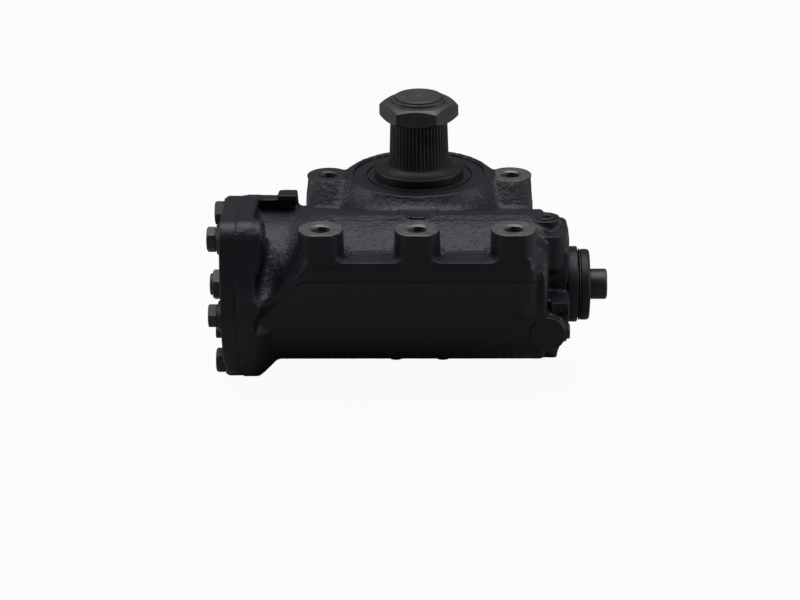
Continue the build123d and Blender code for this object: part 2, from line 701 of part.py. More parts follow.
def sector_shaft():
    """The output shaft with its gear sector, tapered serration and threaded end."""
    sector_bottom = BORE_Z - SECTOR_WIDTH / 2
    sector_top = BORE_Z + SECTOR_WIDTH / 2
    spread = 2 * pi / SECTOR_TEETH_IN_CIRCLE
    profile = Circle(ROOT_R)
    for index in range(SECTOR_TEETH):
        profile += sector_tooth(-pi / 2 + (index - (SECTOR_TEETH - 1) / 2) * spread)
    shaft = rod_z(SHAFT_BOTTOM_Z, SERRATION_BOTTOM_Z, JOURNAL_R)
    shaft += extrude(Plane.XY.offset(sector_bottom) * profile, sector_top - sector_bottom)
    top_r = serration_top_radius()
    shaft += turned([
        (0, SERRATION_BOTTOM_Z),
        (SERRATION_R, SERRATION_BOTTOM_Z),
        (top_r, SERRATION_TOP_Z),
        (THREAD_R, SERRATION_TOP_Z),
        (THREAD_R, SHAFT_TOP_Z - SHAFT_END_CHAMFER),
        (THREAD_R - SHAFT_END_CHAMFER, SHAFT_TOP_Z),
        (0, SHAFT_TOP_Z),
    ])
    groove = serration_groove()
    step = 360 / SERRATION_TEETH
    shaft -= [Rot(0, 0, index * step) * groove for index in range(SERRATION_TEETH)]
    shaft -= Pos(0, 0, SHAFT_TOP_Z - CENTRE_HOLE_DEPTH) * Cone(
        CENTRE_HOLE_R / 4, CENTRE_HOLE_R, CENTRE_HOLE_DEPTH, align=FROM_START)
    return shaft - rod_z(SHAFT_BOTTOM_Z, SHAFT_BOTTOM_Z + ADJUSTER_POCKET_DEPTH, ADJUSTER_POCKET_R)


def serration_top_radius():
    """The serration's radius at its small end."""
    return SERRATION_R - (SERRATION_TOP_Z - SERRATION_BOTTOM_Z) * SERRATION_TAPER / 2


def serration_groove():
    """One V groove of the serration, as deep at both ends of the taper."""
    ends = []
    for radius, height in ((SERRATION_R, SERRATION_BOTTOM_Z), (serration_top_radius(), SERRATION_TOP_Z)):
        half = (2 * pi * radius / SERRATION_TEETH - SERRATION_LAND) / 2
        slope = half / SERRATION_DEPTH
        outer = radius + CUT_PAST
        wide = half + CUT_PAST * slope
        corners = [(radius - SERRATION_DEPTH, 0), (outer, wide), (outer, -wide)]
        ends.append(Plane.XY.offset(height) * make_face(Polyline(corners, close=True)))
    return loft(ends)


def pitman_nut():
    """The nut that clamps the pitman arm, with a thin collar to stake into the shaft."""
    nut = hexagon(NUT_FLATS, NUT_HEIGHT, NUT_CHAMFER)
    nut += rod_z(NUT_HEIGHT, NUT_HEIGHT + NUT_COLLAR_HEIGHT, NUT_COLLAR_R)
    nut -= rod_z(0, NUT_HEIGHT + NUT_COLLAR_HEIGHT, THREAD_R + SEAT_GAP)
    lead_in = Cone(THREAD_R + NUT_CHAMFER, THREAD_R + SEAT_GAP, NUT_CHAMFER, align=FROM_START)
    return Pos(0, 0, SERRATION_TOP_Z) * (nut - lead_in)


def needle_bearing(length, journal_r, needle_r, count, cup_r):
    """A drawn cup with its needles, along Z from zero."""
    track_r = journal_r + RUNNING_GAP + needle_r
    cup = rod_z(0, length, cup_r - SEAT_GAP) - rod_z(0, length, track_r + needle_r + RUNNING_GAP)
    lip = CUP_WALL / 2
    needles = [Rot(0, 0, index * 360 / count) * rod_z(lip, length - lip, needle_r, track_r)
               for index in range(count)]
    return Compound([cup, *needles])


def tower_bearing():
    """The needle bearing that guides the output shaft in the tower."""
    bearing = needle_bearing(TOWER_BEARING_LENGTH, JOURNAL_R, NEEDLE_R, NEEDLE_COUNT, CUP_R)
    return Pos(0, 0, TOWER_BEARING_TOP_Z - TOWER_BEARING_LENGTH) * bearing


def side_bearing():
    """The needle bearing that guides the output shaft in the side cover."""
    bearing = needle_bearing(SIDE_BEARING_LENGTH, JOURNAL_R, NEEDLE_R, NEEDLE_COUNT, CUP_R)
    return Pos(0, 0, SIDE_BOSS_TOP_Z - SIDE_BEARING_LENGTH) * bearing


def lip_seal(length, outer, journal_r):
    """A shaft seal along Z from zero: a case, a web and a lip that runs on the journal."""
    lip = journal_r + RUNNING_GAP
    wall = (outer - lip) / 5
    return turned([
        (lip, length * 0.35),
        (lip + wall, 0),
        (outer - SEAT_GAP, 0),
        (outer - SEAT_GAP, length),
        (outer - wall, length),
        (outer - wall, wall),
        (lip + 2 * wall, wall),
        (lip + wall, length * 0.6),
    ])


def output_seal():
    """The seal above the tower bearing."""
    return Pos(0, 0, SEAL_TOP_Z - SEAL_LENGTH + SEAT_GAP) * lip_seal(SEAL_LENGTH - 2 * SEAT_GAP, SEAL_R, JOURNAL_R)


def seal_snap_ring():
    """The open ring that holds the output seal down."""
    ring = ring_z(SEAT_GAP, SNAP_RING_WIDTH - SEAT_GAP, SNAP_RING_R - SEAT_GAP, SNAP_RING_R - SNAP_RING_DEPTH)
    gap = block(-SNAP_RING_OPENING / 2, SNAP_RING_OPENING / 2, 0, SNAP_RING_R, 0, SNAP_RING_WIDTH)
    return Pos(0, 0, SEAL_TOP_Z) * (ring - gap)


def output_dust_cover():
    """The conical dust cover that shields the seal around the output shaft."""
    inner = JOURNAL_R + RUNNING_GAP
    return turned([
        (inner, 0),
        (DUST_COVER_R, 0),
        (DUST_COVER_R, DUST_COVER_RIM - 1),
        (DUST_COVER_R - 1, DUST_COVER_RIM),
        (DUST_COVER_R - DUST_COVER_LAND, DUST_COVER_RIM),
        (inner + DUST_COVER_LAND, SERRATION_BOTTOM_Z - FLAT_GAP),
        (inner, SERRATION_BOTTOM_Z - FLAT_GAP),
    ])


def sector_thrust_washer():
    """The washer between the sector and the roof of the case."""
    return ring_z(CAVITY_TOP_Z - THRUST_WASHER_THICKNESS, CAVITY_TOP_Z, THRUST_WASHER_R, JOURNAL_R + FLAT_GAP)


def side_cover():
    """The cover under the sector, which carries the lower bearing and the adjusting screw."""
    cover = rod_z(SIDE_OUTER_Z, COVER_SEAT_Z, CASE_PAD_R)
    cover = chamfer(cover.faces().sort_by(Axis.Z)[0].edges(), SIDE_COVER_THICKNESS / 5)
    spigot_top = COVER_SEAT_Z + SIDE_COVER_SPIGOT
    cover += rod_z(COVER_SEAT_Z, spigot_top, CAVITY_R - SEAT_GAP)
    cover += rod_z(COVER_SEAT_Z, SIDE_BOSS_TOP_Z, SIDE_BOSS_R)
    cover -= rod_z(SIDE_BOSS_TOP_Z - SIDE_BEARING_LENGTH, SIDE_BOSS_TOP_Z, CUP_R)
    cover -= rod_z(SIDE_OUTER_Z + SIDE_FLOOR, SIDE_BOSS_TOP_Z, JOURNAL_R + NEEDLE_R)
    ring_bottom = COVER_SEAT_Z + SIDE_COVER_SPIGOT / 2 - COVER_RING_R
    cover -= ring_z(ring_bottom, ring_bottom + 2 * COVER_RING_R, CAVITY_R, CAVITY_R - 2 * COVER_RING_R)
    cover -= rod_z(SIDE_OUTER_Z, SIDE_BOSS_TOP_Z, ADJUSTER_R + SEAT_GAP)
    for x, y in side_bolt_places():
        cover -= rod_z(SIDE_OUTER_Z, COVER_SEAT_Z, M10_R + FLAT_GAP, x, y)
    return cover


def side_cover_bolts():
    """The M10 bolts of the side cover, heads down."""
    piece = Rot(180, 0, 0) * bolt(M10_R, M10_FLATS, M10_HEAD, SIDE_COVER_THICKNESS + SIDE_BOLT_REACH)
    return Compound([Pos(x, y, SIDE_OUTER_Z) * piece for x, y in side_bolt_places()])


def side_cover_seal():
    """The rubber ring in the groove of the side cover's spigot."""
    bottom = COVER_SEAT_Z + SIDE_COVER_SPIGOT / 2 - COVER_RING_R + SEAT_GAP
    outer = CAVITY_R - SEAT_GAP
    return ring_z(bottom, bottom + 2 * COVER_RING_R - 2 * SEAT_GAP, outer, CAVITY_R - 2 * COVER_RING_R + SEAT_GAP)


def adjusting_screw():
    """The screw that sets the mesh, with its head held in the foot of the output shaft."""
    head_bottom = SHAFT_BOTTOM_Z + RETAINER_HEIGHT + FLAT_GAP
    bottom = SIDE_OUTER_Z - ADJUSTER_OUT
    screw = rod_z(bottom, head_bottom, ADJUSTER_R) + rod_z(head_bottom, head_bottom + ADJUSTER_HEAD, ADJUSTER_HEAD_R)
    slot = block(-ADJUSTER_SLOT / 2, ADJUSTER_SLOT / 2, -ADJUSTER_R, ADJUSTER_R, bottom, bottom + ADJUSTER_SLOT)
    return screw - slot


def adjusting_locknut():
    """The nut that locks the adjusting screw under the side cover."""
    nut = hexagon(ADJUSTER_NUT_FLATS, ADJUSTER_NUT_HEIGHT, ADJUSTER_NUT_FLATS / 15)
    nut -= rod_z(0, ADJUSTER_NUT_HEIGHT, ADJUSTER_R + SEAT_GAP)
    return Pos(0, 0, SIDE_OUTER_Z) * Rot(180, 0, 0) * nut


def screw_retainer():
    """The ring screwed into the output shaft under the adjusting screw's head."""
    return ring_z(SHAFT_BOTTOM_Z, SHAFT_BOTTOM_Z + RETAINER_HEIGHT, ADJUSTER_POCKET_R - SEAT_GAP, ADJUSTER_R + FLAT_GAP)


# ---- piston and ball screw
def helix_tool(half_length, radius):
    """A round cutter swept along the ball track, from minus to plus the half length about the middle."""
    turns = ceil(half_length / LEAD)
    start = -turns * LEAD
    path = Helix(pitch=LEAD, height=2 * turns * LEAD, radius=BALL_CIRCLE_R)
    section = Plane(origin=path @ 0, z_dir=path % 0) * Circle(radius)
    tool = sweep(section, path=path, is_frenet=True)
    return on_bore_axis(Pos(0, 0, start) * tool)


def ball_centre(turn_angle):
    """The place of a ball at an angle along the track, in radians from its middle."""
    along = LEAD * turn_angle / (2 * pi)
    return on_bore_axis(Pos(BALL_CIRCLE_R * cos(turn_angle), BALL_CIRCLE_R * sin(turn_angle), along))


def rack_cutter():
    """The spaces between the rack teeth and the flat that clears the sector's hub."""
    tip_y = -PITCH_R + ADDENDUM
    root_y = -PITCH_R - DEDENDUM
    slope = tan(radians(PRESSURE_ANGLE))
    half = TOOTH_PITCH / 4 + BACKLASH / 4
    at_tip = half + ADDENDUM * slope
    at_root = half - DEDENDUM * slope
    low = BORE_Z - BORE_R
    cutter = block(RACK_FLAT_LEFT, PISTON_RIGHT + CUT_PAST, tip_y, 0, low, BORE_Z + BORE_R)
    for index in range(SECTOR_TEETH):
        middle = (index - (SECTOR_TEETH - 1) / 2) * TOOTH_PITCH
        corners = [
            (middle - at_tip, tip_y),
            (middle - at_root, root_y),
            (middle + at_root, root_y),
            (middle + at_tip, tip_y),
        ]
        cutter += extrude(Plane.XY.offset(low) * make_face(Polyline(corners, close=True)), 2 * BORE_R)
    return cutter


def guide_places():
    """The X middle and the Z of the two ball return guides."""
    return [(side * LEAD, BORE_Z + side * GUIDE_SPREAD) for side in (-1, 1)]


def piston():
    """The piston: a plunger with the rack on its side and the ball nut inside."""
    body = rod_x(PISTON_LEFT, PISTON_RIGHT, BORE_R - RUNNING_GAP)
    body = chamfer(body.edges(), PISTON_EDGE)
    body -= rod_x(PISTON_BORE_END, PISTON_RIGHT, PISTON_BORE_R)
    body -= ring_x(RING_X, RING_X + RING_WIDTH, BORE_R, BORE_R - RING_DEPTH)
    body -= rack_cutter()
    body -= helix_tool(NUT_GROOVE_HALF_LENGTH, BALL_R + SEAT_GAP)
    half_length = GUIDE_POCKET_LENGTH / 2
    half_width = GUIDE_POCKET_WIDTH / 2
    body -= block(-half_length, half_length, BORE_Y - BORE_R, GUIDE_POCKET_Y, BORE_Z - half_width, BORE_Z + half_width)
    for middle, z in guide_places():
        for side in (-1, 1):
            x = middle + side * GUIDE_HALF_SPAN
            body -= rod_front(BORE_Y, GUIDE_POCKET_Y, GUIDE_R + SEAT_GAP, x, z)
    for x, z in clamp_screw_places():
        body -= rod_front(GUIDE_POCKET_Y + CLAMP_SCREW_REACH + CUT_PAST, GUIDE_POCKET_Y, CLAMP_SCREW_R + SEAT_GAP, x, z)
    return body - rod_x(PISTON_LEFT, PISTON_LEFT + BUTTON_HEIGHT, BUTTON_R + SEAT_GAP)


def piston_ring():
    """The sealing ring near the closed end of the piston."""
    return ring_x(RING_X + SEAT_GAP, RING_X + RING_WIDTH - SEAT_GAP, BORE_R - RUNNING_GAP / 2,
                  BORE_R - RING_DEPTH + SEAT_GAP)


def piston_stop_button():
    """The hard button in the piston crown that meets the stroke screw."""
    return rod_x(PISTON_LEFT, PISTON_LEFT + BUTTON_HEIGHT, BUTTON_R)


def recirculating_balls():
    """The loaded balls between the worm and the piston."""
    return Compound([ball_centre(BALL_FIRST + index * BALL_STEP) * Sphere(BALL_R) for index in range(BALL_COUNT)])


def return_guides():
    """The two bent tubes that lead the balls back along the piston."""
    inner_y = BORE_Y - PISTON_BORE_R - GUIDE_R
    tubes = []
    for middle, z in guide_places():
        left = middle - GUIDE_HALF_SPAN
        right = middle + GUIDE_HALF_SPAN
        path = FilletPolyline((left, inner_y, z), (left, GUIDE_TOP_Y, z), (right, GUIDE_TOP_Y, z),
                              (right, inner_y, z), radius=GUIDE_BEND_R)
        section = Plane(origin=path @ 0, z_dir=path % 0)
        tubes.append(sweep(section * Circle(GUIDE_R), path=path) - sweep(section * Circle(GUIDE_BORE_R), path=path))
    return Compound(tubes)


def clamp_screw_offset():
    """How far the clamp's screws stand from the middle, clear of the guides."""
    return GUIDE_SPREAD + GUIDE_R + CLAMP_SCREW_HEAD_R + FLAT_GAP


def clamp_screw_places():
    """The X and Z of the screws beside the return guides."""
    return [(side * CLAMP_LENGTH / 4, BORE_Z - side * clamp_screw_offset()) for side in (-1, 1)]


def guide_clamp():
    """The plate that holds the return guides in their pocket, on two posts."""
    back = GUIDE_TOP_Y - GUIDE_R - SEAT_GAP
    half_length = CLAMP_LENGTH / 2
    half_width = clamp_screw_offset() + CLAMP_SCREW_HEAD_R
    plate = block(-half_length, half_length, back - CLAMP_THICKNESS, back, BORE_Z - half_width, BORE_Z + half_width)
    plate = fillet(plate.edges().filter_by(Axis.Y), CLAMP_THICKNESS)
    for x, z in clamp_screw_places():
        plate += rod_front(GUIDE_POCKET_Y, back, CLAMP_SCREW_HEAD_R, x, z)
        plate -= rod_front(GUIDE_POCKET_Y, back - CLAMP_THICKNESS, CLAMP_SCREW_R + SEAT_GAP, x, z)
    return plate


def clamp_screws():
    """The cap screws of the guide clamp."""
    seat = GUIDE_TOP_Y - GUIDE_R - SEAT_GAP - CLAMP_THICKNESS
    screws = []
    for x, z in clamp_screw_places():
        head = rod_front(seat, seat - CLAMP_SCREW_HEAD, CLAMP_SCREW_HEAD_R, x, z)
        screws.append(head + rod_front(GUIDE_POCKET_Y + CLAMP_SCREW_REACH, seat, CLAMP_SCREW_R, x, z))
    return Compound(screws)


def worm():
    """The ball screw with its valve head, bored for the torsion bar."""
    screw = rod_x(WORM_LEFT, BORE_RIGHT, WORM_R)
    screw = chamfer(screw.faces().sort_by(Axis.X)[0].edges(), PISTON_EDGE)
    screw -= helix_tool(GROOVE_HALF_LENGTH, BALL_R + GROOVE_GAP)
    screw += rod_x(BORE_RIGHT, VALVE_HEAD_LEFT, WORM_NECK_R - RUNNING_GAP)
    screw += rod_x(VALVE_HEAD_LEFT, VALVE_HEAD_RIGHT, VALVE_BORE_R - RUNNING_GAP)
    for left in valve_ring_places():
        screw -= ring_x(left, left + VALVE_RING_WIDTH, VALVE_BORE_R, VALVE_BORE_R - VALVE_RING_DEPTH)
    screw -= rod_x(VALVE_HEAD_LEFT + VALVE_HEAD_FLOOR, VALVE_HEAD_RIGHT, ROTOR_R + RUNNING_GAP)
    screw -= rod_x(BAR_LEFT, VALVE_HEAD_RIGHT, BAR_R + SEAT_GAP)
    pin_x = BAR_LEFT + PIN_INSET
    return screw - rod_z(BORE_Z - WORM_R, BORE_Z + WORM_R, PIN_R + SEAT_GAP, pin_x, BORE_Y)


def valve_ring_places():
    """The left sides of the sealing rings, spread evenly over the valve head."""
    pitch = (VALVE_HEAD_RIGHT - VALVE_HEAD_LEFT) / VALVE_RING_COUNT
    return [VALVE_HEAD_LEFT + (index + 0.5) * pitch - VALVE_RING_WIDTH / 2 for index in range(VALVE_RING_COUNT)]


def valve_seal_rings():
    """The sealing rings that part the oil ways of the valve head."""
    rings = [ring_x(left + SEAT_GAP, left + VALVE_RING_WIDTH - SEAT_GAP, VALVE_BORE_R - RUNNING_GAP / 2,
                    VALVE_BORE_R - VALVE_RING_DEPTH + SEAT_GAP) for left in valve_ring_places()]
    return Compound(rings)


def torsion_bar():
    """The slender bar that centres the valve, pinned to the worm and to the input shaft."""
    bar = rod_x(BAR_LEFT + SEAT_GAP, BAR_RIGHT, BAR_WAIST_R)
    bar += rod_x(BAR_LEFT + SEAT_GAP, BAR_LEFT + BAR_END_LENGTH, BAR_R)
    bar += rod_x(BAR_RIGHT - BAR_END_LENGTH, BAR_RIGHT, BAR_R)
    for x in (BAR_LEFT + PIN_INSET, BAR_RIGHT - PIN_INSET):
        bar -= rod_z(BORE_Z - BAR_R, BORE_Z + BAR_R, PIN_R + SEAT_GAP, x, BORE_Y)
    return bar


def cross_pin(x, half_length):
    """A pin through the torsion bar and the piece around it."""
    return rod_z(BORE_Z - half_length, BORE_Z + half_length, PIN_R, x, BORE_Y)


def worm_pin():
    """The pin that joins the torsion bar to the worm."""
    return cross_pin(BAR_LEFT + PIN_INSET, WORM_R - SEAT_GAP)


def input_pin():
    """The pin that joins the torsion bar to the input shaft."""
    return cross_pin(BAR_RIGHT - PIN_INSET, INPUT_JOURNAL_R - SEAT_GAP)


def input_shaft():
    """The input shaft with the slotted valve rotor inside the worm's head."""
    rotor_left = VALVE_HEAD_LEFT + VALVE_HEAD_FLOOR + FLAT_GAP
    rotor = rod_x(rotor_left, VALVE_HEAD_RIGHT, ROTOR_R)
    slot = block(rotor_left, VALVE_HEAD_RIGHT, -ROTOR_SLOT_WIDTH / 2, ROTOR_SLOT_WIDTH / 2,
                 ROTOR_R - ROTOR_SLOT_DEPTH, ROTOR_R + CUT_PAST)
    for index in range(ROTOR_SLOTS):
        rotor -= Pos(0, BORE_Y, BORE_Z) * Rot(index * 360 / ROTOR_SLOTS, 0, 0) * slot
    shaft = rod_x(DUST_DISC_RIGHT, INPUT_END, INPUT_R)
    shaft = chamfer(shaft.faces().sort_by(Axis.X)[-1].edges(), INPUT_CHAMFER)
    shaft += rod_x(VALVE_HEAD_RIGHT, DUST_DISC_RIGHT, INPUT_JOURNAL_R) + rotor
    shaft -= rod_x(rotor_left, BAR_RIGHT + SEAT_GAP, BAR_R + SEAT_GAP)
    pin_x = BAR_RIGHT - PIN_INSET
    reach = INPUT_JOURNAL_R + CUT_PAST
    return shaft - rod_z(BORE_Z - reach, BORE_Z + reach, PIN_R + SEAT_GAP, pin_x, BORE_Y)


def input_dust_disc():
    """The round shield pressed on the input shaft."""
    disc = rod_x(DUST_DISC_LEFT, DUST_DISC_RIGHT, DUST_DISC_R)
    disc = chamfer(disc.edges(), DUST_DISC_EDGE)
    return disc - rod_x(DUST_DISC_LEFT, DUST_DISC_RIGHT, INPUT_JOURNAL_R + SEAT_GAP)


# ---- plugs, bearing and cover of the valve end
def pressure_port_plug():
    """The flush plug of the pressure port, with a hexagon socket."""
    plug = rod_z(-PORT_PLUG_DEPTH, 0, PORT_PLUG_R)
    plug -= extrude(Plane.XY.offset(-PORT_SOCKET_DEPTH) * RegularPolygon(
        PORT_SOCKET_FLATS / 2, 6, major_radius=False), PORT_SOCKET_DEPTH)
    return Pos(PORT_X, PORT_PLUG_Y, PORT_DOME_TOP_Z) * plug


def relief_valve_plug():
    """The sunk plug in front of the relief valve, with a hexagon socket."""
    plug = rod_z(-RELIEF_PLUG_DEPTH, 0, RELIEF_PLUG_R)
    plug -= extrude(Plane.XY.offset(-RELIEF_PLUG_R) * RegularPolygon(
        RELIEF_PLUG_R / 2, 6, major_radius=False), RELIEF_PLUG_R)
    return Pos(RELIEF_X, RELIEF_FRONT_Y + RELIEF_PLUG_SINK, RELIEF_Z) * Rot(90, 0, 0) * plug


def front_plug():
    """The large round plug low at the front of the valve housing."""
    head = rod_z(0, FRONT_PLUG_HEAD, FRONT_PLUG_R)
    head = fillet(head.faces().sort_by(Axis.Z)[-1].edges(), FRONT_BOSS_WALL)
    plug = head + rod_z(-FRONT_PLUG_REACH, 0, FRONT_PLUG_THREAD_R)
    seat_y = FRONT_PLUG_FACE_Y + FRONT_PLUG_HEAD
    return Pos(FRONT_PLUG_X, seat_y, FRONT_PLUG_Z) * Rot(90, 0, 0) * plug


def end_plug():
    """The hexagon plug in the end face of the valve end."""
    y, z = around_bore(END_PLUG_CIRCLE_R, END_PLUG_ANGLE)
    return facing_right(bolt(M10_R, M10_FLATS, M10_HEAD, END_PLUG_REACH), END_PLUG_SEAT, y, z)


def worm_bearing():
    """The ball bearing between the valve housing's lip and the worm's head."""
    left = WORM_BEARING_LEFT + SEAT_GAP
    right = left + WORM_BEARING_WIDTH
    inner = ring_x(left, right, WORM_NECK_R + WORM_RACE_WALL, WORM_NECK_R)
    outer = ring_x(left, right, VALVE_BORE_R - SEAT_GAP, VALVE_BORE_R - WORM_RACE_WALL)
    middle_r = (WORM_NECK_R + VALVE_BORE_R) / 2
    groove = on_bore_axis(Pos(0, 0, (left + right) / 2) * Torus(middle_r, WORM_BALL_R + SEAT_GAP))
    balls = []
    for index in range(WORM_BALL_COUNT):
        turn = Rot(0, 0, index * 360 / WORM_BALL_COUNT)
        balls.append(on_bore_axis(turn * Pos(middle_r, 0, (left + right) / 2) * Sphere(WORM_BALL_R)))
    return Compound([inner - groove, outer - groove, *balls])


def input_cover():
    """The screwed cover around the input shaft, with its seats for the bearing and the seal."""
    cover = rod_x(INPUT_COVER_LEFT, VALVE_RIGHT, VALVE_BORE_R - SEAT_GAP)
    neck = rod_x(VALVE_RIGHT, INPUT_COVER_RIGHT, INPUT_COVER_R)
    cover += chamfer(neck.faces().sort_by(Axis.X)[-1].edges(), INPUT_COVER_EDGE)
    cover -= rod_x(INPUT_COVER_LEFT, INPUT_COVER_RIGHT, INPUT_JOURNAL_R + INPUT_NEEDLE_R)
    cover -= rod_x(INPUT_COVER_LEFT, INPUT_COVER_LEFT + INPUT_BEARING_LENGTH, input_cup_radius())
    return cover - rod_x(INPUT_COVER_RIGHT - INPUT_SEAL_LENGTH, INPUT_COVER_RIGHT, INPUT_SEAL_R)


def input_cup_radius():
    """The outer radius of the needle bearing around the input shaft."""
    return INPUT_JOURNAL_R + 2 * RUNNING_GAP + 2 * INPUT_NEEDLE_R + CUP_WALL


def input_bearing():
    """The needle bearing of the input shaft."""
    bearing = needle_bearing(INPUT_BEARING_LENGTH, INPUT_JOURNAL_R, INPUT_NEEDLE_R, INPUT_NEEDLE_COUNT,
                             input_cup_radius())
    return on_bore_axis(Pos(0, 0, INPUT_COVER_LEFT) * bearing)


def input_seal():
    """The shaft seal in the mouth of the input cover."""
    seal = lip_seal(INPUT_SEAL_LENGTH - SEAT_GAP, INPUT_SEAL_R, INPUT_JOURNAL_R)
    return on_bore_axis(Pos(0, 0, INPUT_COVER_RIGHT - INPUT_SEAL_LENGTH + SEAT_GAP) * seal)


PIECES = (
    housing,
    end_cover,
    end_cover_bolts,
    end_cover_seal,
    stroke_screw,
    stroke_locknut,
    cover_plug,
    sector_shaft,
    pitman_nut,
    tower_bearing,
    side_bearing,
    output_seal,
    seal_snap_ring,
    output_dust_cover,
    sector_thrust_washer,
    side_cover,
    side_cover_bolts,
    side_cover_seal,
    adjusting_screw,
    adjusting_locknut,
    screw_retainer,
    piston,
    piston_ring,
    piston_stop_button,
    recirculating_balls,
    return_guides,
    guide_clamp,
    clamp_screws,
    worm,
    valve_seal_rings,
    torsion_bar,
    worm_pin,
    input_shaft,
    input_pin,
    input_dust_disc,
    pressure_port_plug,
    relief_valve_plug,
    front_plug,
    end_plug,
    worm_bearing,
    input_cover,
    input_bearing,
    input_seal,
)

os.makedirs("parts", exist_ok=True)
for piece in PIECES:
    export_step(piece(), f"parts/{piece.__name__}.step")
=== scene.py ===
"""A dressed recirculating-ball steering gear: cast skins, machined faces, fasteners and their finishes.

Lengths in the shape functions are in millimetres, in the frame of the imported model; meshes are in metres.
"""
import math

import bmesh
import bpy
import numpy as np
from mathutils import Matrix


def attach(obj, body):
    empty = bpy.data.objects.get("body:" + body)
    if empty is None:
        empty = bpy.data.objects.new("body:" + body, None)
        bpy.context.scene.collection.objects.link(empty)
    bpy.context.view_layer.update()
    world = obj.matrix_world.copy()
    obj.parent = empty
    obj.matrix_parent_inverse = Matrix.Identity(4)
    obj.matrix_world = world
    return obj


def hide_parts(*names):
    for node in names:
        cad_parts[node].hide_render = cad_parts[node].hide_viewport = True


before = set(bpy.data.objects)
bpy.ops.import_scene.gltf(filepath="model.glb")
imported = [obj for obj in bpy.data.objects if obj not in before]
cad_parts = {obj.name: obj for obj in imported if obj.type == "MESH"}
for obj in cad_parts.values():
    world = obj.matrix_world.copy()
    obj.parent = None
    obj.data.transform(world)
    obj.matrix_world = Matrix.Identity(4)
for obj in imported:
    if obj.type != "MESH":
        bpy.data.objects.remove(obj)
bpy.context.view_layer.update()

import openvdb as vdb
from mathutils import Matrix, Vector

MM = 0.001
TURN = 2 * math.pi
FACE_STEPS = 120
SHARP = 32.0

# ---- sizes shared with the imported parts
BORE_Y, BORE_Z = -85.0, -86.4
BARREL_R, BARREL_LEFT, BARREL_RIGHT = 75.0, -175.0, 126.0
BORE_R, BORE_RIGHT = 60.0, 100.0
REST_Z, FRONT_LIMIT_Y = -178.4, -176.9
BOSS_PITCH, FRONT_BOSS_Y, BOSS_R = 93.0, -156.0, 22.0
THREAD_MAJOR_R, HOLE_DEPTH = 10.0, 38.0
TOWER_TOP_R = 70.5
CASE_R, CASE_PAD_R, COVER_SEAT_Z = 66.0, 72.0, -162.0
COVER_OUTER_Z, SIDE_BOLT_CIRCLE_R = -172.0, 62.5
FLANGE_R, FLANGE_RIGHT, PLATE_RIGHT = 92.0, -149.0, -158.5
EAR_Y, EAR_Z, EAR_R = -145.0, -15.0, 20.0
END_FACE_X, END_PAD_X = -191.5, -194.5
END_BOLTS = (
    (-59.0, -19.5), (EAR_Y, EAR_Z), (-160.0, -89.0), (-104.0, -161.0), (-26.0, -136.0), (-10.5, -68.0))
VALVE_RIGHT, VALVE_CORE_R, VALVE_BORE_R = 148.2, 58.0, 30.0
PORT_X, PORT_Y, PORT_R = 129.7, -110.0, 17.0
PORT_PLUG_X, PORT_PLUG_Y, PORT_TOP_Z = 126.0, -96.0, -10.6
RELIEF_X, RELIEF_Z, RELIEF_FRONT_Y = 139.8, -89.5, -150.0
FRONT_PLUG_X, FRONT_PLUG_Z, FRONT_PLUG_R, FRONT_PLUG_Y = 127.0, -109.6, 17.6, -160.0
END_PLUG_ANGLE, END_PLUG_CIRCLE_R, END_PLUG_SEAT = 220.0, 53.0, 145.5
COVER_PLUG_Y, COVER_PLUG_Z = -105.0, -129.0
SHIELD_LEFT, SHIELD_Z = 160.0, BORE_Z - 0.5
SHAFT_THREAD_R, NUT_BOTTOM_Z = 24.0, 60.0
GUSSET_FOOT, GUSSET_HEAD = (-158.0, -88.0), (-104.0, -35.5)


# ---- node trees
class Wire:
    """A node socket that takes part in Python arithmetic."""

    def __init__(self, net, socket):
        self.net = net
        self.socket = socket

    def math(self, operation, *others):
        return self.net.add("ShaderNodeMath", {"operation": operation}, (self, *others))

    def out(self, key):
        return Wire(self.net, self.socket.node.outputs[key])

    def __add__(self, other):
        return self.math("ADD", other)

    def __sub__(self, other):
        return self.math("SUBTRACT", other)

    def __rsub__(self, other):
        return self.net.add("ShaderNodeMath", {"operation": "SUBTRACT"}, (other, self))

    def __mul__(self, other):
        return self.math("MULTIPLY", other)

    def __truediv__(self, other):
        return self.math("DIVIDE", other)


class Net:
    """A node tree that grows by one call per node."""

    def __init__(self, tree):
        self.tree = tree
        tree.nodes.clear()

    def add(self, kind, settings=None, values=(), output=0):
        node = self.tree.nodes.new(kind)
        for name, value in (settings or {}).items():
            if name == "stops":
                ramp = node.color_ramp.elements
                while len(ramp) < len(value):
                    ramp.new(0.5)
                for stop, (position, colour) in zip(ramp, value):
                    stop.position = position
                    stop.color = (*colour, 1.0)
            else:
                setattr(node, name, value)
        pairs = values.items() if isinstance(values, dict) else enumerate(values)
        for key, value in pairs:
            if isinstance(value, Wire):
                self.tree.links.new(value.socket, node.inputs[key])
            elif value is not None:
                node.inputs[key].default_value = value
        return Wire(self, node.outputs[output]) if len(node.outputs) else node


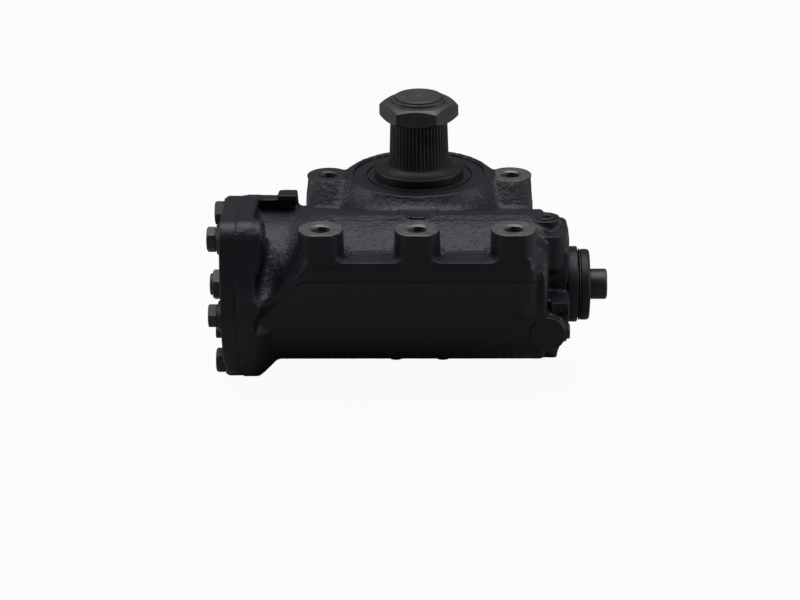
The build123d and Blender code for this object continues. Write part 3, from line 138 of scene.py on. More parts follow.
# ---- finishes
class Finish(Net):
    """A material around one Principled shader."""

    def __init__(self, name, colour, roughness, metallic=0.0, specular=0.5):
        self.material = bpy.data.materials.new(name)
        self.material.use_nodes = True
        super().__init__(self.material.node_tree)
        self.place = self.add("ShaderNodeTexCoord", output="Object")
        self.shader = self.tree.nodes.new("ShaderNodeBsdfPrincipled")
        self.set("Base Color", (*colour, 1.0))
        self.set("Roughness", roughness)
        self.set("Metallic", metallic)
        self.set("Specular IOR Level", specular)
        end = self.tree.nodes.new("ShaderNodeOutputMaterial")
        self.tree.links.new(self.shader.outputs[0], end.inputs["Surface"])

    def set(self, socket, value):
        if isinstance(value, Wire):
            self.tree.links.new(value.socket, self.shader.inputs[socket])
        else:
            self.shader.inputs[socket].default_value = value

    def noise(self, scale, detail=2.0, roughness=0.5):
        values = {"Vector": self.place, "Scale": scale, "Detail": detail, "Roughness": roughness}
        return self.add("ShaderNodeTexNoise", None, values)

    def lines(self, along, scale, detail):
        values = {"W": along, "Scale": scale, "Detail": detail}
        return self.add("ShaderNodeTexNoise", {"noise_dimensions": "1D"}, values)

    def attribute(self, name):
        return self.add("ShaderNodeAttribute", {"attribute_name": name}, (), "Fac")

    def span(self, value, low, high, to_low=0.0, to_high=1.0):
        return self.add("ShaderNodeMapRange", {"clamp": True}, (value, low, high, to_low, to_high))

    def mix(self, factor, first, second):
        values = {"Factor": factor}
        for key, colour in ((6, first), (7, second)):
            values[key] = colour if isinstance(colour, Wire) else (*colour, 1.0)
        return self.add("ShaderNodeMix", {"data_type": "RGBA"}, values, 2)

    def bump(self, height, distance):
        values = {"Height": height, "Distance": distance, "Strength": 1.0}
        return self.add("ShaderNodeBump", None, values)


def cast_paint(name, colour, light, roughness):
    """Satin paint over a sand casting: orange peel, wrinkles, small pits and a slow drift of gloss."""
    paint = Finish(name, colour, roughness, specular=0.34)
    paint.set("Specular Tint", (0.86, 0.89, 1.0, 1.0))
    coarse = paint.noise(330, 2.0, 0.5)
    fine = paint.noise(800, 1.0, 0.5)
    wrinkle = paint.noise(150, 3.0, 0.55)
    pits = paint.span(paint.noise(230, 3.0, 0.6), 0.6, 0.75)
    zone = paint.attribute("grain")
    drift = paint.noise(22, 2.0)
    shade = paint.span(drift * 0.6 + coarse * 0.4, 0.35, 0.65)
    paint.set("Base Color", paint.mix(shade, colour, light))
    gloss = paint.span(drift * 0.5 + fine * 0.5, 0.3, 0.7, roughness - 0.06, roughness + 0.08)
    paint.set("Roughness", gloss)
    height = coarse * 0.55 + fine * 0.2 + wrinkle * 0.5 - pits * 0.16
    paint.set("Normal", paint.bump(height * zone, 0.0008))
    return paint.material


def smooth_paint(name, colour, light, roughness):
    """Satin paint on a machined or stamped piece."""
    paint = Finish(name, colour, roughness, specular=0.25)
    fine = paint.noise(900, 2.0)
    drift = paint.noise(45, 2.0)
    paint.set("Base Color", paint.mix(paint.span(drift, 0.35, 0.65), colour, light))
    paint.set("Roughness", paint.span(fine, 0.3, 0.7, roughness - 0.05, roughness + 0.07))
    paint.set("Normal", paint.bump(fine * 0.6 + paint.noise(240, 1.0) * 0.4, 0.00022))
    return paint.material


def worked_steel(name, colour, light, roughness, metallic, streak=900.0):
    """Steel with a fine directional cut, a thin coat of oil or phosphate, and painted light: lighter towards
    the top, darker towards the bottom.
    """
    steel = Finish(name, colour, roughness, metallic)
    split = steel.add("ShaderNodeSeparateXYZ", None, (steel.place,))
    reach = steel.add("ShaderNodeVectorMath", {"operation": "LENGTH"}, (steel.place,), "Value")
    cut = steel.lines(reach, streak, 3.0)
    mottle = steel.noise(160, 3.0)
    # Random tone of the oil coat, plus a Z term that is painted light: the steel is lighter towards the top
    # and darker towards the bottom.
    film_and_top_light = steel.span(steel.noise(38, 3.0) + split.out("Z") * 0.4, 0.4, 0.62)
    steel.set("Base Color", steel.mix(film_and_top_light * 0.6 + mottle * 0.3, colour, light))
    sheen = steel.span(cut * 0.5 + mottle * 0.5, 0.3, 0.7, roughness - 0.08, roughness + 0.1)
    steel.set("Roughness", sheen)
    steel.set("Normal", steel.bump(cut * 0.6 + mottle * 0.4, 0.00006))
    return steel.material


def faced_iron(name, colour, light, rust, roughness):
    """A machined iron face: the cutter's rings round its hole, light oxide, and paint at its edge."""
    iron = Finish(name, colour, roughness, 0.75)
    radius = iron.attribute("ring")
    rings = iron.lines(radius, 2600.0, 2.0)
    mottle = iron.noise(140, 4.0, 0.6)
    haze = iron.attribute("edge")
    tone = iron.mix(iron.span(mottle, 0.35, 0.7), colour, light)
    tone = iron.mix(iron.span(iron.noise(75, 4.0, 0.65), 0.52, 0.72) * 0.5, tone, rust)
    iron.set("Base Color", iron.mix(haze, tone, PAINT))
    iron.set("Metallic", 0.75 - haze * 0.7)
    sheen = iron.span(rings * 0.6 + mottle * 0.4, 0.3, 0.7, roughness - 0.08, roughness + 0.1)
    iron.set("Roughness", sheen)
    iron.set("Normal", iron.bump(rings * 0.7 + mottle * 0.3, 0.00007))
    return iron.material


def moulded(name, colour, light, roughness):
    """Rubber or moulded plastic with a faint bloom."""
    skin = Finish(name, colour, roughness, specular=0.3)
    bloom = skin.noise(90, 3.0)
    fine = skin.noise(1500, 1.0)
    skin.set("Base Color", skin.mix(skin.span(bloom, 0.4, 0.7), colour, light))
    skin.set("Roughness", skin.span(fine, 0.3, 0.7, roughness - 0.06, roughness + 0.06))
    skin.set("Normal", skin.bump(fine, 0.00004))
    return skin.material


PAINT = (0.0050, 0.0052, 0.0076)
PAINT_LIGHT = (0.0072, 0.0074, 0.0102)
FINISHES = {
    "painted_casting": cast_paint("cast_paint", PAINT, PAINT_LIGHT, 0.42),
    "black_paint": smooth_paint("black_paint", (0.0095, 0.0095, 0.0112), (0.014, 0.014, 0.0155), 0.42),
    "dark_steel": worked_steel("dark_steel", (0.030, 0.030, 0.030), (0.062, 0.062, 0.060), 0.44, 0.55),
    "bright_steel": worked_steel("bright_steel", (0.46, 0.46, 0.45), (0.60, 0.60, 0.59), 0.26, 1.0),
    "bare_iron": faced_iron(
        "bare_iron", (0.092, 0.090, 0.085), (0.15, 0.148, 0.14), (0.085, 0.065, 0.048), 0.46),
    "black_rubber": moulded("black_rubber", (0.004, 0.004, 0.0046), (0.0065, 0.0065, 0.0072), 0.5),
    "seal_plastic": moulded("seal_plastic", (0.11, 0.06, 0.035), (0.16, 0.09, 0.05), 0.5),
}
SHAFT_END = worked_steel(
    "shaft_end_steel", (0.075, 0.072, 0.062), (0.11, 0.105, 0.092), 0.45, 0.6, 1500.0)
JOINT = moulded("joint_line", (0.003, 0.003, 0.003), (0.005, 0.005, 0.005), 0.7)
BLACKED = worked_steel("blacked_steel", (0.006, 0.006, 0.007), (0.012, 0.012, 0.0125), 0.42, 0.2)
BOLT_STEEL = worked_steel("bolt_steel", (0.022, 0.022, 0.022), (0.036, 0.036, 0.036), 0.42, 0.45)


# ---- meshes
def add_piece(name, points, faces, slot, body="case", stands_for=(), finish=None,
              sharp=SHARP, normals=None, marks=None):
    """A piece from points in millimetres, on its body, in the finish of its slot."""
    mesh = bpy.data.meshes.new(name)
    mesh.from_pydata((np.asarray(points, dtype=float) * MM).tolist(), [], [list(face) for face in faces])
    mesh.validate()
    mesh.shade_smooth()
    if normals is not None:
        mesh.normals_split_custom_set_from_vertices(normals.tolist())
    else:
        mesh.set_sharp_from_angle(angle=math.radians(sharp))
    for mark, values in (marks or {}).items():
        set_mark(mesh, mark, values)
    enrol(name, mesh, slot, body, stands_for, finish)


def set_mark(mesh, mark, values):
    """One number per point, for a finish to read."""
    numbers = np.asarray(values, dtype=np.float32)
    mesh.attributes.new(mark, "FLOAT", "POINT").data.foreach_set("value", numbers)


def linked(name, data):
    """An object for a mesh, lamp or camera, in the scene."""
    thing = bpy.data.objects.new(name, data)
    bpy.context.scene.collection.objects.link(thing)
    return thing


def enrol(name, mesh, slot, body, stands_for=(), finish=None):
    """Puts a mesh in the scene in its finish, on the empty of its body, and hides the imported parts it
    stands for.
    """
    piece = linked(name, mesh)
    mesh.materials.clear()
    mesh.materials.append(finish or FINISHES[slot])
    if "grain" not in mesh.attributes and slot == "painted_casting":
        set_mark(mesh, "grain", np.ones(len(mesh.vertices)))
    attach(piece, body)
    if stands_for:
        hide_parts(*stands_for)


def shell(rows, count=96):
    """A closed skin round Z through rows of (radius, height), each a number or one value per direction.

    A row of radius zero closes on the axis, and the last row joins the first where neither lies on it.
    """
    angles = np.arange(count) * TURN / count
    points, rings = [], []
    for radius, height in rows:
        start = len(points)
        if np.ndim(radius) == 0 and radius == 0:
            points.append((0.0, 0.0, float(np.mean(height))))
            rings.append([start] * count)
        else:
            radii, heights = np.broadcast_to(radius, count), np.broadcast_to(height, count)
            points.extend(zip(radii * np.cos(angles), radii * np.sin(angles), heights))
            rings.append(list(range(start, start + count)))
    faces = []
    for lower, upper in zip(rings, rings[1:] + rings[:1]):
        for this in range(count):
            after = (this + 1) % count
            corners = dict.fromkeys((lower[this], lower[after], upper[after], upper[this]))
            if len(corners) > 2:
                faces.append(tuple(corners))
    return outward(points, faces)


def outward(points, faces):
    """The same closed skin with every face pointing out."""
    work = bmesh.new()
    corners = [work.verts.new(point) for point in points]
    for face in faces:
        work.faces.new([corners[index] for index in face])
    bmesh.ops.recalc_face_normals(work, faces=work.faces)
    work.verts.index_update()
    turned = [tuple(corner.index for corner in face.verts) for face in work.faces]
    work.free()
    return np.array(points), turned


def eased(outline, radius, steps=3):
    """A closed (radius, height) outline with its corners off the axis rounded."""
    smooth = []
    for index, corner in enumerate(outline):
        here = np.array(corner, dtype=float)
        before = np.array(outline[index - 1], dtype=float)
        after = np.array(outline[(index + 1) % len(outline)], dtype=float)
        room = min(np.linalg.norm(before - here), np.linalg.norm(after - here)) * 0.45
        if here[0] < 1e-6 or room < 1e-6:
            smooth.append(tuple(here))
            continue
        reach = min(radius, room)
        first = here + (before - here) / np.linalg.norm(before - here) * reach
        last = here + (after - here) / np.linalg.norm(after - here) * reach
        for step in range(steps + 1):
            t = step / steps
            smooth.append(tuple((1 - t) ** 2 * first + 2 * t * (1 - t) * here + t ** 2 * last))
    return smooth


def turned(outline, ease=0.4, count=96):
    """A turned solid about Z from a closed outline, with small edge radii."""
    return shell(eased(outline, ease), count)


def hex_radius(flats, count, corner=160.0, roll=0.0):
    """The rim of a hexagon with slightly rounded corners, one of them near +X, for each direction."""
    angles = np.arange(count) * TURN / count - math.radians(roll + 30)
    sides = sum(np.abs(np.cos(angles - side * math.pi / 3)) ** corner for side in range(3))
    return flats / 2 / sides ** (1 / corner)


def hexagon(flats, height, hole=0.0, washer=0.0, both=False, dish=0.0, count=FACE_STEPS, roll=0.0):
    """Rows for shell of a chamfered hexagon on Z from zero.

    It has a washer face below, or a chamfer on both sides, and a hole or a dished top.
    """
    rim = hex_radius(flats, count, roll=roll)
    crown = flats * 0.475
    drop = (rim - crown) * math.tan(math.radians(30))
    rows = []
    if washer:
        rows += [(flats * 0.47, 0.0), (flats * 0.485, 0.15), (flats * 0.485, washer)]
        rows += [(rim - 0.25, washer), (rim, washer + 0.25)]
    elif both:
        rows += [(crown, 0.0), (rim - 0.3, drop - 0.15), (rim, drop + 0.15)]
    else:
        rows += [(rim - 0.2, 0.0), (rim, 0.2)]
    rows += [(rim, height - drop - 0.2), (rim - 0.3, height - drop + 0.1)]
    rows += [(crown + 0.3, height - 0.12), (crown - 0.3, height)]
    if hole:
        rows += [(hole + 0.8, height), (hole, height - 0.8), (hole, 0.8), (hole + 0.8, 0.0)]
        return rows
    if dish:
        rows += [(crown * 0.72, height), (crown * 0.66, height - dish), (0.0, height - dish)]
    else:
        rows += [(0.0, height)]
    return [(0.0, 0.0)] + rows


def bolt(head, *shank):
    """A hexagon head on a shank, whose rows run up from its tip."""
    return shell([(0.0, shank[0][1]), *shank, *head[1:]], FACE_STEPS)


def placed(solid, x, y, z, facing="up"):
    """A solid made along Z, moved to its place and turned to face one way."""
    points, faces = solid
    px, py, pz = np.asarray(points).T
    turns = {"up": (px, py, pz), "down": (px, -py, -pz), "right": (pz, py, -px), "left": (-pz, py, px),
             "front": (px, -pz, py)}
    return np.stack(turns[facing], 1) + (x, y, z), faces


def joined(*solids):
    """Several solids as one list of points and faces."""
    points, faces, start = [], [], 0
    for some, theirs in solids:
        points.append(some)
        faces += [tuple(index + start for index in face) for face in theirs]
        start += len(some)
    return np.concatenate(points), faces


# ---- distance fields of the castings
def blend(first, second, reach):
    """The union of two fields with a fillet."""
    share = np.clip(0.5 + 0.5 * (second - first) / reach, 0, 1)
    return second * (1 - share) + first * share - reach * share * (1 - share)


def crease(first, second, reach):
    """The common part of two fields with a rounded edge."""
    return -blend(-first, -second, reach)


def carve(body, tool, reach):
    """The body without the tool, with a rounded edge."""
    return crease(body, -tool, reach)


def between(value, low, high):
    """The field of a slab."""
    return np.abs(value - (low + high) / 2) - (high - low) / 2


def rounded_right(outline, along, low, high, edge):
    """The field of a plate, square at its low side and rounded at its high side."""
    return crease(np.maximum(outline, low - along), along - high, edge)


def box_field(x, y, z, low, high, edge):
    """The field of a block with rounded edges."""
    sides = [between(value, lo, hi) + edge for value, lo, hi in zip((x, y, z), low, high)]
    inner = np.minimum(np.maximum(np.maximum(sides[0], sides[1]), sides[2]), 0)
    outer = np.sqrt(sum(np.maximum(side, 0) ** 2 for side in sides))
    return inner + outer - edge


def rod_field(distance, radius, along, low, high, edge):
    """The field of a rod, from the distance to its axis."""
    wall, end = distance - radius + edge, between(along, low, high) + edge
    return np.minimum(np.maximum(wall, end), 0) + np.hypot(np.maximum(wall, 0), np.maximum(end, 0)) - edge


def stadium_field(u, v, first, second):
    """The flat field of the hull of two circles, each (u, v, radius)."""
    (u1, v1, r1), (u2, v2, r2) = first, second
    span = math.hypot(u2 - u1, v2 - v1)
    du, dv = (u2 - u1) / span, (v2 - v1) / span
    along = (u - u1) * du + (v - v1) * dv
    aside = np.abs((v - v1) * du - (u - u1) * dv)
    lean = (r1 - r2) / span
    upright = math.sqrt(1 - lean ** 2)
    place = -lean * aside + upright * along
    side = upright * aside + lean * along - r1
    near, far = np.hypot(aside, along) - r1, np.hypot(aside, along - span) - r2
    return np.where(place < 0, near, np.where(place > upright * span, far, side))


def polygon_field(u, v, corners):
    """The flat field of a polygon."""
    nearest = np.full(np.broadcast(u, v).shape, 1e9)
    inside = np.zeros(nearest.shape, dtype=bool)
    for (u1, v1), (u2, v2) in zip(corners, corners[1:] + corners[:1]):
        du, dv = u2 - u1, v2 - v1
        share = np.clip(((u - u1) * du + (v - v1) * dv) / (du * du + dv * dv), 0, 1)
        nearest = np.minimum(nearest, np.hypot(u - u1 - share * du, v - v1 - share * dv))
        if v1 != v2:
            crosses = ((v1 > v) != (v2 > v)) & (u < (u2 - u1) * (v - v1) / (v2 - v1) + u1)
            inside ^= crosses
    return np.where(inside, -nearest, nearest)


def ripple(x, y, z, size, seed, waves=14):
    """A smooth, even noise between about -1 and 1, from waves in fixed random directions."""
    dice = np.random.default_rng(seed)
    total = 0.0
    for _ in range(waves):
        direction = dice.normal(size=3)
        direction *= TURN / size * dice.uniform(0.6, 1.6) / np.linalg.norm(direction)
        total = total + np.sin(direction[0] * x + direction[1] * y + direction[2] * z + dice.uniform(0, TURN))
    return total / math.sqrt(waves)


def mount_places():
    """The five bolt bosses."""
    front = [(step * BOSS_PITCH, FRONT_BOSS_Y) for step in (-1, 0, 1)]
    return front + [(-BOSS_PITCH, 0.0), (BOSS_PITCH, 0.0)]


def column_field(x, y, z, centre_x, centre_y, depth):
    """The field of one mounting boss, slightly wider at its foot."""
    wall = np.hypot(x - centre_x, y - centre_y) - BOSS_R + z * 0.026
    return crease(crease(wall, z + 0.25, 0.7), -depth - z, 2.0)


def upper_works(x, y, z):
    """Deck, front ledge and the five bosses with their webs."""
    section = [(-84, -12), (-92, -12), (-139, -28.8), (-172.8, -28.8), (-172.8, -45), (-119, -86), (-84, -86)]
    deck = crease(polygon_field(y, z, section), between(x, -103, 108), 1.6)
    columns = [step * BOSS_PITCH for step in (-1, 0, 1)]
    for centre_x in columns:
        gap = np.hypot(x - centre_x, y - FRONT_BOSS_Y) - BOSS_R
        valley = 6.0 * np.exp(-((gap - 1) / 6) ** 2)
        deck = deck + valley * np.clip((y + 154) / 8, 0, 1) * np.clip((z + 44) / 6, 0, 1)
    for centre_x in columns:
        deck = blend(deck, column_field(x, y, z, centre_x, FRONT_BOSS_Y, 46), 6)
    deck = crease(deck, -175.8 - y, 1.2)
    for side in (-1, 1):
        web = crease(stadium_field(x, y, (side * BOSS_PITCH, 0, 20), (0, 0, 47)), between(z, -60, -30), 4)
        deck = blend(deck, web, 8)
    return deck


def crown_field(x, y, z):
    """The flat top that joins the tower to the two rear bosses, drafted out towards the front."""
    plan = np.hypot(x, y) - TOWER_TOP_R
    for side in (-1, 1):
        plan = blend(plan, stadium_field(x, y, (side * BOSS_PITCH, 0, 13), (side * 60, 0, 14)), 16)
        plan = blend(plan, np.hypot(x - side * BOSS_PITCH, y) - BOSS_R + 0.8 * (side < 0), 5)
    draft = 0.06 + 0.72 * np.clip(-y / 20, 0, 1)
    top = crease((plan + z * draft) / np.sqrt(1 + draft ** 2), z + 0.05, 0.8)
    return crease(crease(top, -42 - z, 2), np.abs(x) - BOSS_PITCH - BOSS_R + 0.4, 3)


def below_gusset(x, z):
    """How far a point lies below the line of the gusset."""
    (foot_x, foot_z), (head_x, head_z) = GUSSET_FOOT, GUSSET_HEAD
    turn = (x - foot_x) * (head_z - foot_z) - (z - foot_z) * (head_x - foot_x)
    return turn / math.hypot(head_x - foot_x, head_z - foot_z)


def apron_front(z):
    """The front of the apron at each height."""
    return np.interp(z, (-100.2, -47.5, -44.5), (-158.7, -170.2, -172.0))


def sweep_field(x, y, z):
    """The sloping cheek between the first boss and the closed end, above the gusset."""
    under = below_gusset(x, z)
    cheek = crease(-0.824 * (x + 116) - 0.132 * (y + 150) + 0.55 * (z + 26), between(y, -166, -70), 4)
    return crease(crease(cheek, z + 14, 8), np.maximum(x + 90, under), 2)


def apron_field(x, y, z):
    """The plate between the gusset, the front ledge and the barrel, drafted back to the barrel."""
    side = [(-172.0, -38), (-172.0, -44.5), (-170.2, -47.5), (-158.7, -100.2), (-119, -112), (-119, -38)]
    return crease(crease(polygon_field(y, z, side), -below_gusset(x, z) - 2, 3), between(x, -158, 112), 3)


def gusset_field(x, y, z):
    """The slanting rib from the closed end's flange up to the first boss."""
    (foot_x, foot_z), (head_x, head_z) = GUSSET_FOOT, GUSSET_HEAD
    span = math.hypot(head_x - foot_x, head_z - foot_z)
    along_x, along_z = (head_x - foot_x) / span, (head_z - foot_z) / span
    share = np.clip((x - foot_x) * along_x + (z - foot_z) * along_z, 0, span)
    aside = np.hypot(x - foot_x - share * along_x, z - foot_z - share * along_z) - 3.6
    return crease(crease(aside, apron_front(z) - 1.4 - y, 3), y + 100, 2)


def valve_works(x, y, z):
    """The valve end: core, head block, two port bosses, relief block, front boss and foot."""
    around = np.hypot(y - BORE_Y, z - BORE_Z)
    body = rod_field(around, VALVE_CORE_R, x, 118, VALVE_RIGHT, 2.5)
    head = box_field(x, y, z, (118, BORE_Y - 26, BORE_Z), (VALVE_RIGHT, BORE_Y + 26, -23), 6)
    body = blend(body, head, 4)
    body = carve(body, box_field(x, y, z, (100, -220, -80), (190, -120.5, 20), 4), 4)
    port = rod_field(np.hypot(x - PORT_X, y - PORT_Y), PORT_R, z, -52, -20.3, 1.0)
    port = np.minimum(port, np.sqrt((x - PORT_X) ** 2 + (y - PORT_Y) ** 2 + ((z + 50) * 1.25) ** 2) - PORT_R)
    body = blend(body, port, 3)
    dome = rod_field(np.hypot(x - PORT_PLUG_X, y - PORT_PLUG_Y), 14.5, z, -50, PORT_TOP_Z, 2)
    recess = rod_field(np.hypot(x - PORT_PLUG_X, y - PORT_PLUG_Y), 9.6, z, PORT_TOP_Z - 1.6, 10, 0)
    dome = carve(dome, recess, 0.6)
    body = blend(body, dome, 3)
    cave = box_field(x, y, z, (131, -165, -79), (150, -122.5, -68), 4) + 0.9 * ripple(x, y, z, 9, 31)
    body = carve(body, cave, 4)
    relief = box_field(x, y, z, (129.5, RELIEF_FRONT_Y, -99.5), (148, BORE_Y, -80.3), 1.6)
    body = blend(body, relief, 2.5)
    recess = rod_field(np.hypot(x - RELIEF_X, z - RELIEF_Z), 5.6, y, -160, RELIEF_FRONT_Y + 4, 0)
    body = carve(body, recess, 1)
    boss = rod_field(np.hypot(x - FRONT_PLUG_X, z - FRONT_PLUG_Z), 17.4, y, -153.2, BORE_Y, 1.2)
    body = blend(body, boss, 4)
    foot_side = [(-115, -144), (BORE_Y, -161), (-60, REST_Z), (-38, REST_Z), (-33, BORE_Z), (BORE_Y, BORE_Z)]
    foot = crease(polygon_field(y, z, foot_side), between(x, 118, 141), 3)
    return blend(body, foot, 5)


def housing_hollow(x, y, z):
    """The bore, the sector cavity and the way up through the tower."""
    around, reach = np.hypot(y - BORE_Y, z - BORE_Z), np.hypot(x, y)
    hollow = rod_field(around, BORE_R, x, -200, BORE_RIGHT, 0)
    hollow = np.minimum(hollow, rod_field(around, VALVE_BORE_R, x, BORE_RIGHT, 200, 0))
    for radius, low, high in ((54, -200, -57), (36.3, -60, -10), (43, -16, 20), (66.5, -3.2, 20)):
        hollow = np.minimum(hollow, rod_field(reach, radius, z, low, high, 0))
    return hollow


def housing_field(x, y, z):
    """The whole housing casting."""
    around, reach = np.hypot(y - BORE_Y, z - BORE_Z), np.hypot(x, y)
    barrel = rod_field(around, BARREL_R, x, BARREL_LEFT, BARREL_RIGHT, 5)
    outline = stadium_field(y, z, (BORE_Y, BORE_Z - 1.5, FLANGE_R - 1.5), (EAR_Y, EAR_Z, EAR_R))
    flange = rounded_right(outline, x, BARREL_LEFT, PLATE_RIGHT, 5)
    lower = np.clip((-88 - z) / 20, 0, 1)
    flare = (around - 87 + (x + 153.4) * 0.97) / 1.39 + 12 * (1 - lower)
    flare = crease(flare, np.maximum(outline + 0.2, between(x, BARREL_LEFT + 1, -125)), 4)
    flange = blend(flange, flare, 3)
    ear = stadium_field(y, z, (EAR_Y, EAR_Z, EAR_R - 1), (EAR_Y - 10, -84, 17))
    ear_right = x - FLANGE_RIGHT - 1 + 0.26 * np.maximum(-25 - z, 0)
    ear = crease(np.maximum(ear, BARREL_LEFT + 1 - x), ear_right, 7)
    flange = blend(flange, ear, 5)
    body = blend(barrel, flange, 3 + 6 * (1 - lower))
    body = blend(body, sweep_field(x, y, z), 14)
    body = blend(body, apron_field(x, y, z), 2)
    body = blend(body, gusset_field(x, y, z), 4)
    floor = 0.35 * (x + 150) - 0.6 * (y + 168) + 0.72 * (z + 68.5)
    floor = np.maximum(floor, np.maximum(y + 105, -112 - z))
    limits = np.maximum(np.maximum(between(x, -170, -137), z + 50), below_gusset(x, z) + 3)
    floor = crease(floor, limits, 8)
    body = blend(body, floor, 9)
    heights, radii = (-149.5, -149, -48, -24, -13, 0), (CASE_PAD_R, CASE_R, CASE_R, 76, 76, TOWER_TOP_R)
    tower_r = np.interp(z, heights, radii)
    tower = crease(crease((reach - tower_r) * 0.9, z + 0.05, 1.5), COVER_SEAT_Z - z, 2)
    body = blend(body, upper_works(x, y, z), 8)
    body = blend(blend(body, tower, 12), crown_field(x, y, z), 9)
    body = blend(body, box_field(x, y, z, (-171, -66, -26), (-121, -50, -3.2), 1.5), 3)
    body = blend(body, box_field(x, y, z, (-140.5, -67, -26), (-121, -48, 1.6), 2.2), 2)
    body = carve(body, box_field(x, y, z, (-160, -82, -15.5), (-124, -61, -6.2), 1), 2.5)
    body = blend(body, box_field(x, y, z, (-126, -66, -40), (-104, -44, -17), 4), 9)
    wall = box_field(x, y, z, (94, -167, -92), (111.5, BORE_Y, -16), 8)
    body = blend(body, wall, 7)
    wall = box_field(x, y, z, (100, -152, -96), (123.5, BORE_Y, -21), 8)
    body = blend(body, wall, 9)
    body = blend(body, valve_works(x, y, z), 4)
    pad = rod_field(np.hypot(x, y + 83), 19.5, z, -24, -8.6, 1.2)
    body = blend(body, pad, 1.5)
    rough = np.clip((z + 60) / 25, 0.25, 1)
    skin = 0.1 + (0.16 * ripple(x, y, z, 30, 3) + 0.1 * ripple(x, y, z, 10, 5)) * rough
    body = body + np.maximum(skin, 0)
    for centre_x, centre_y in mount_places():
        hole = rod_field(np.hypot(x - centre_x, y - centre_y), 10.6, z, -HOLE_DEPTH - 1, 20, 0)
        body = np.maximum(body, -hole)
    body = np.maximum(body, np.maximum(REST_Z + 0.1 - z, FRONT_LIMIT_Y - y))
    return np.maximum(body, -housing_hollow(x, y, z))


def end_cover_field(x, y, z):
    """The cover of the closed end, with a pad for each bolt and a boss for the stroke screw."""
    outline = stadium_field(y, z, (BORE_Y, BORE_Z - 1.5, FLANGE_R - 1.7), (EAR_Y, EAR_Z, EAR_R - 0.2))
    around = np.hypot(y - BORE_Y, z - BORE_Z)
    plate = rounded_right(outline, -x, -BARREL_LEFT, -END_FACE_X, 2.5)
    plate = carve(plate, crease(np.abs(around - 47) - 14, x + 186, 3), 4)
    boss = rod_field(around, 20, x, END_PAD_X, BARREL_LEFT, 2)
    body = blend(plate, boss, 5)
    for rib in range(6):
        turn = math.radians(30 + 60 * rib)
        along = (y - BORE_Y) * math.cos(turn) + (z - BORE_Z) * math.sin(turn)
        aside = (z - BORE_Z) * math.cos(turn) - (y - BORE_Y) * math.sin(turn)
        bar = crease(crease(between(aside, -4, 4), between(along, 10, 70), 2), between(x, -190, -178), 3)
        body = blend(body, bar, 4)
    for bolt_y, bolt_z in END_BOLTS:
        pad = rod_field(np.hypot(y - bolt_y, z - bolt_z), 15, x, END_PAD_X, BARREL_LEFT, 1.6)
        body = blend(body, crease(pad, outline, 2), 3)
    body = body + np.maximum(0.12 + 0.1 * ripple(x, y, z, 20, 9), 0)
    return np.maximum(body, np.maximum(REST_Z + 0.1 - z, FRONT_LIMIT_Y - y))


def slope(field, points):
    """The gradient of a field at some points."""
    step = 0.08
    parts = []
    for axis in range(3):
        shift = np.zeros(3)
        shift[axis] = step
        parts.append((field(*(points + shift).T) - field(*(points - shift).T)) / (2 * step))
    return np.stack(parts, 1)


def cast_skin(field, low, high, step):
    """The surface of a field: a grid of it is contoured, then every point is drawn onto the surface."""
    margin, band, passes = 2.5, 3.0, 4
    axes = [np.arange(lo - margin * step, hi + margin * step, step) for lo, hi in zip(low, high)]
    x, y, z = np.meshgrid(*axes, indexing="ij", sparse=True)
    values = np.broadcast_to(field(x, y, z), [len(axis) for axis in axes])
    grid = vdb.FloatGrid(band * step)
    near = np.clip(values, -band * step, band * step)
    grid.copyFromArray(np.ascontiguousarray(near, dtype=np.float32))
    points, faces = grid.convertToQuads(isovalue=0.0)
    points = points.astype(float) * step + [axis[0] for axis in axes]
    start = points.copy()
    for _ in range(passes):
        normal = slope(field, points)
        length = np.maximum(np.linalg.norm(normal, axis=1), 0.3)[:, None]
        points = points - field(*points.T)[:, None] * normal / length ** 2
        drift = points - start
        far = np.maximum(np.linalg.norm(drift, axis=1) / (0.8 * step), 1)[:, None]
        points = start + drift / far
    normal = slope(field, points)
    normal /= np.maximum(np.linalg.norm(normal, axis=1), 1e-6)[:, None]
    corners = points[faces]
    facing = np.cross(corners[:, 1] - corners[:, 0], corners[:, 2] - corners[:, 1])
    if np.mean(np.sum(facing * normal[faces[:, 0]], axis=1)) < 0:
        faces = faces[:, ::-1]
    return points, faces, normal


def between_share(value, low, high):
    """One inside a span, falling to zero over six millimetres at its ends."""
    return np.clip(0.5 - between(value, low, high) / 6.0, 0, 1)


def cast_housing():
    """The housing, with a coarser grain on its deck and low at its valve end."""
    step = 2.0
    points, faces, normal = cast_skin(housing_field, (-175, -177, REST_Z), (VALVE_RIGHT, 77, 4), step)
    x, y, z = points.T
    grain = 0.5 + 0.8 * np.clip(normal[:, 2] * 3, 0, 1) * np.clip((0.998 - normal[:, 2]) * 60, 0.35, 1)
    grain += 0.5 * np.clip((x - 128) / 6, 0, 1) * np.clip((-60 - z) / 6, 0, 1)
    grain += 0.9 * between_share(y, -146, -94) * between_share(x, -100, 100) * (z < -12)
    machined = (np.abs(z - COVER_SEAT_Z) < 0.3) | (np.abs(x - BARREL_LEFT) < 0.3)
    grain[machined] = 0.05
    add_piece("housing_casting", points, faces, "painted_casting", stands_for=("housing",), normals=normal,
              marks={"grain": grain})


def cast_end_cover():
    """The end cover, with an even grain."""
    step = 1.6
    points, faces, normal = cast_skin(end_cover_field, (END_PAD_X, -177, REST_Z), (BARREL_LEFT, 7, 6), step)
    add_piece("end_cover_casting", points, faces, "painted_casting", stands_for=("end_cover",),
              normals=normal, marks={"grain": np.full(len(points), 0.8)})


# ---- geometry node trees
def new_tree(name, sockets):
    """An empty geometry tree with named inputs; returns its net and its input wires."""
    tree = bpy.data.node_groups.new(name, "GeometryNodeTree")
    net = Net(tree)
    tree.interface.new_socket("Geometry", in_out="OUTPUT", socket_type="NodeSocketGeometry")
    for label, kind in sockets:
        tree.interface.new_socket(label, in_out="INPUT", socket_type=kind)
    return net, net.add("NodeGroupInput")


